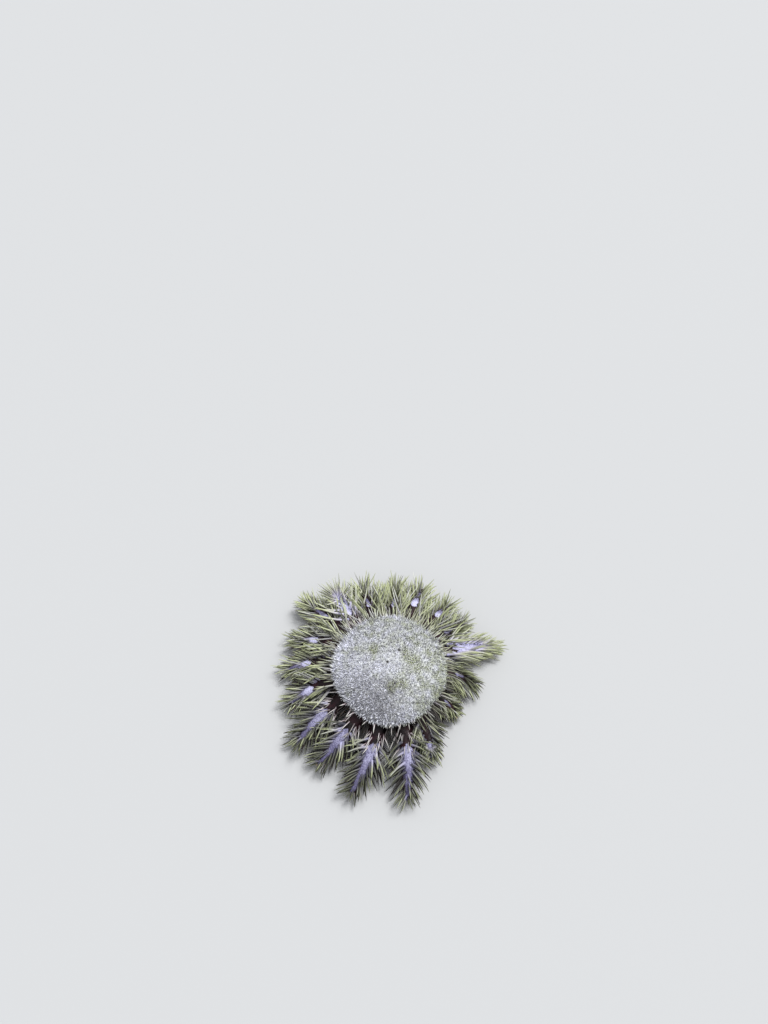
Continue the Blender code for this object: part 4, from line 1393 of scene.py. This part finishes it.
def add_under_spines(material):
    """The small blunt spines beside the grooves, under the disc and round the mouth."""
    draw = np.random.default_rng(SEED + 3)
    forms = Forms(BLUNT_PROFILE, 6)
    for column, arm in enumerate(ARMS):
        along = np.arange(*GROOVE_ALONG, GROOVE_STEP / length_of(arm))
        count = len(along)
        for side in (1, -1):
            _, heading, left = arm_line(arm, along)
            turn = side * draw.normal(*GROOVE_TURN, count)
            ways = ways_from(heading, left, turn, draw.normal(*GROOVE_RISE, count))
            roots = arm_points(arm, along, side * GROOVE_ACROSS, GROOVE_UP) - ways * GROOVE_DEPTH
            length = np.minimum(GROOVE_LENGTH, (roots[:, 2] - GROOVE_HEIGHT) / -ways[:, 2])
            spots = arm_spots(column, len(ARMS), along, 0.5 + side * 0.4)
            forms.add(roots, ways, length, GROOVE_RADIUS, spots, draw)
    for number in range(len(ARMS)):
        turn = JAW_TURN + number * 360 / len(ARMS)
        reach = np.linspace(*UNDER_REACH, UNDER_ROW)
        out = np.tile(unit(turn), (UNDER_ROW, 1))
        roots = raised(out * reach[:, None], UNDERSIDE + UNDER_DEPTH)
        ways = raised(out * UNDER_LEAN, -1.0) + draw.normal(0, UNDER_STRAY, (UNDER_ROW, 3))
        spots = arm_spots(number, len(ARMS), reach / UNDER_MAP_REACH, 0.5)
        forms.add(roots, ways, draw.uniform(*UNDER_LENGTH, UNDER_ROW), UNDER_RADIUS, spots, draw)
        level = unit(turn + JAW_FAN / 4) * (JAW_SPINE_OUT * MOUTH_RADIUS)
        roots = raised(level, UNDERSIDE - JAW_SPINE_DOWN * MOUTH_DEPTH)
        ways = raised(-unit(turn + JAW_FAN), -JAW_SPINE_DROP)
        spots = arm_spots(number, len(ARMS), JAW_MAP_ALONG, 0.5 + JAW_FAN / 60)
        forms.add(roots, ways, JAW_SPINE_LENGTH, JAW_SPINE_RADIUS, spots, draw)
    return forms.piece("under_spines", material)


# Stage

def add_floor():
    """A plain pale floor."""
    bpy.ops.mesh.primitive_circle_add(
        vertices=FLOOR_SIDES, radius=FLOOR_RADIUS, fill_type="NGON", location=(0, 0, -FLOOR_DROP)
    )
    floor = bpy.context.object
    floor.name = "floor"
    look = Shading("floor", Roughness=0.9)
    look.set("Base Color", FLOOR_COLOUR)
    floor.data.materials.append(look.material)


def add_sun():
    """One broad soft light from behind on the right."""
    light = bpy.data.lights.new("sun", "SUN")
    light.energy = SUN_STRENGTH
    light.angle = math.radians(SUN_SOFTNESS)
    lamp = bpy.data.objects.new("sun", light)
    lamp.rotation_euler = Vector(SUN_FROM).to_track_quat("Z", "Y").to_euler()
    bpy.context.scene.collection.objects.link(lamp)


def add_camera():
    """The camera at the photo's angle, over the front of the disc."""
    lens = bpy.data.cameras.new("camera")
    lens.sensor_width = SENSOR
    lens.lens = FOCAL_PIXELS / PHOTO_HEIGHT * SENSOR
    lens.clip_start = CLIP_START
    camera = bpy.data.objects.new("camera", lens)
    elevation = math.radians(CAMERA_ELEVATION)
    back = Vector((0, -math.cos(elevation), math.sin(elevation))) * CAMERA_DISTANCE
    camera.location = Vector(HUB) + Vector((0, 0, CAMERA_AIM_HEIGHT)) + back
    camera.rotation_euler = Euler([math.radians(turn) for turn in CAMERA_ROTATION])
    bpy.context.scene.collection.objects.link(camera)
    bpy.context.scene.camera = camera


def add_world():
    """Soft light from all round."""
    world = bpy.data.worlds.new("world")
    world.use_nodes = True
    background = world.node_tree.nodes["Background"]
    background.inputs["Color"].default_value = WORLD_COLOUR
    background.inputs["Strength"].default_value = WORLD_STRENGTH
    bpy.context.scene.world = world
    bpy.context.scene.view_settings.view_transform = "Standard"


def hub_in_frame():
    """Where the frame has the disc's centre, from the round of the mouth's outer edge."""
    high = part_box("mouth")[1]
    farthest = unit(np.array([arm.direction for arm in ARMS])).max(0) * MOUTH_RADIUS
    return np.array([high.x - farthest[0], high.y - farthest[1], 0.0])


def finish_piece(piece, nodes=()):
    """Tell the frame what a piece rides on, and hide the solids that it stands for."""
    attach(piece, "root")
    if nodes:
        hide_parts(*nodes)


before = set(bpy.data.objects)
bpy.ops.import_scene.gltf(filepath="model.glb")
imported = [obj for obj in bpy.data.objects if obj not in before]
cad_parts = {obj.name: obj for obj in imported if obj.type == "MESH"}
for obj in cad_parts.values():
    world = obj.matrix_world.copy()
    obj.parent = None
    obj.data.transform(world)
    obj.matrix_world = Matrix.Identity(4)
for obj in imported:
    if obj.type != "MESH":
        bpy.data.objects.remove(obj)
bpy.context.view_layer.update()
DISC = DiscSurface()
HUB = hub_in_frame()

add_camera()
add_floor()
add_world()
add_sun()

skin = add_skin(skin_material())
finish_piece(skin, sorted(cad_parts))

spine_look = spine_material()
each = len(ARMS) // SPINE_PIECES
for number in range(SPINE_PIECES):
    name = f"arm_spines_{number + 1}"
    spines = add_arm_spines(name, each * number, each * (number + 1), spine_look)
    finish_piece(spines)
finish_piece(add_collar(spine_look))

draw = np.random.default_rng(SEED)
prickle_look = coat_material("prickle", PRICKLE_ROOT, PRICKLE, PRICKLE_TIP, PRICKLE_OLIVE)
for piece in add_disc_coat(PRICKLES, draw, prickle_look):
    finish_piece(piece)
finish_piece(add_bristles(draw, prickle_look))
bud_look = coat_material("bud", BUD_ROOT, BUD, BUD_TIP, BUD_OLIVE)
for piece in add_disc_coat(BUDS, draw, bud_look):
    finish_piece(piece)

arm_bud_look = soft_material("arm_bud", MAROON_DARK, ARM_BUD_END)
each = len(ARMS) // BUD_PIECES
for number in range(BUD_PIECES):
    arms = ARMS[each * number:each * (number + 1)]
    finish_piece(add_arm_buds(f"arm_buds_{number + 1}", arms, arm_bud_look))
finish_piece(add_feet(soft_material("tube_foot", BUFF_DEEP, BUFF)))
finish_piece(add_under_spines(soft_material("under_spine", BUFF_DEEP, BUFF)))
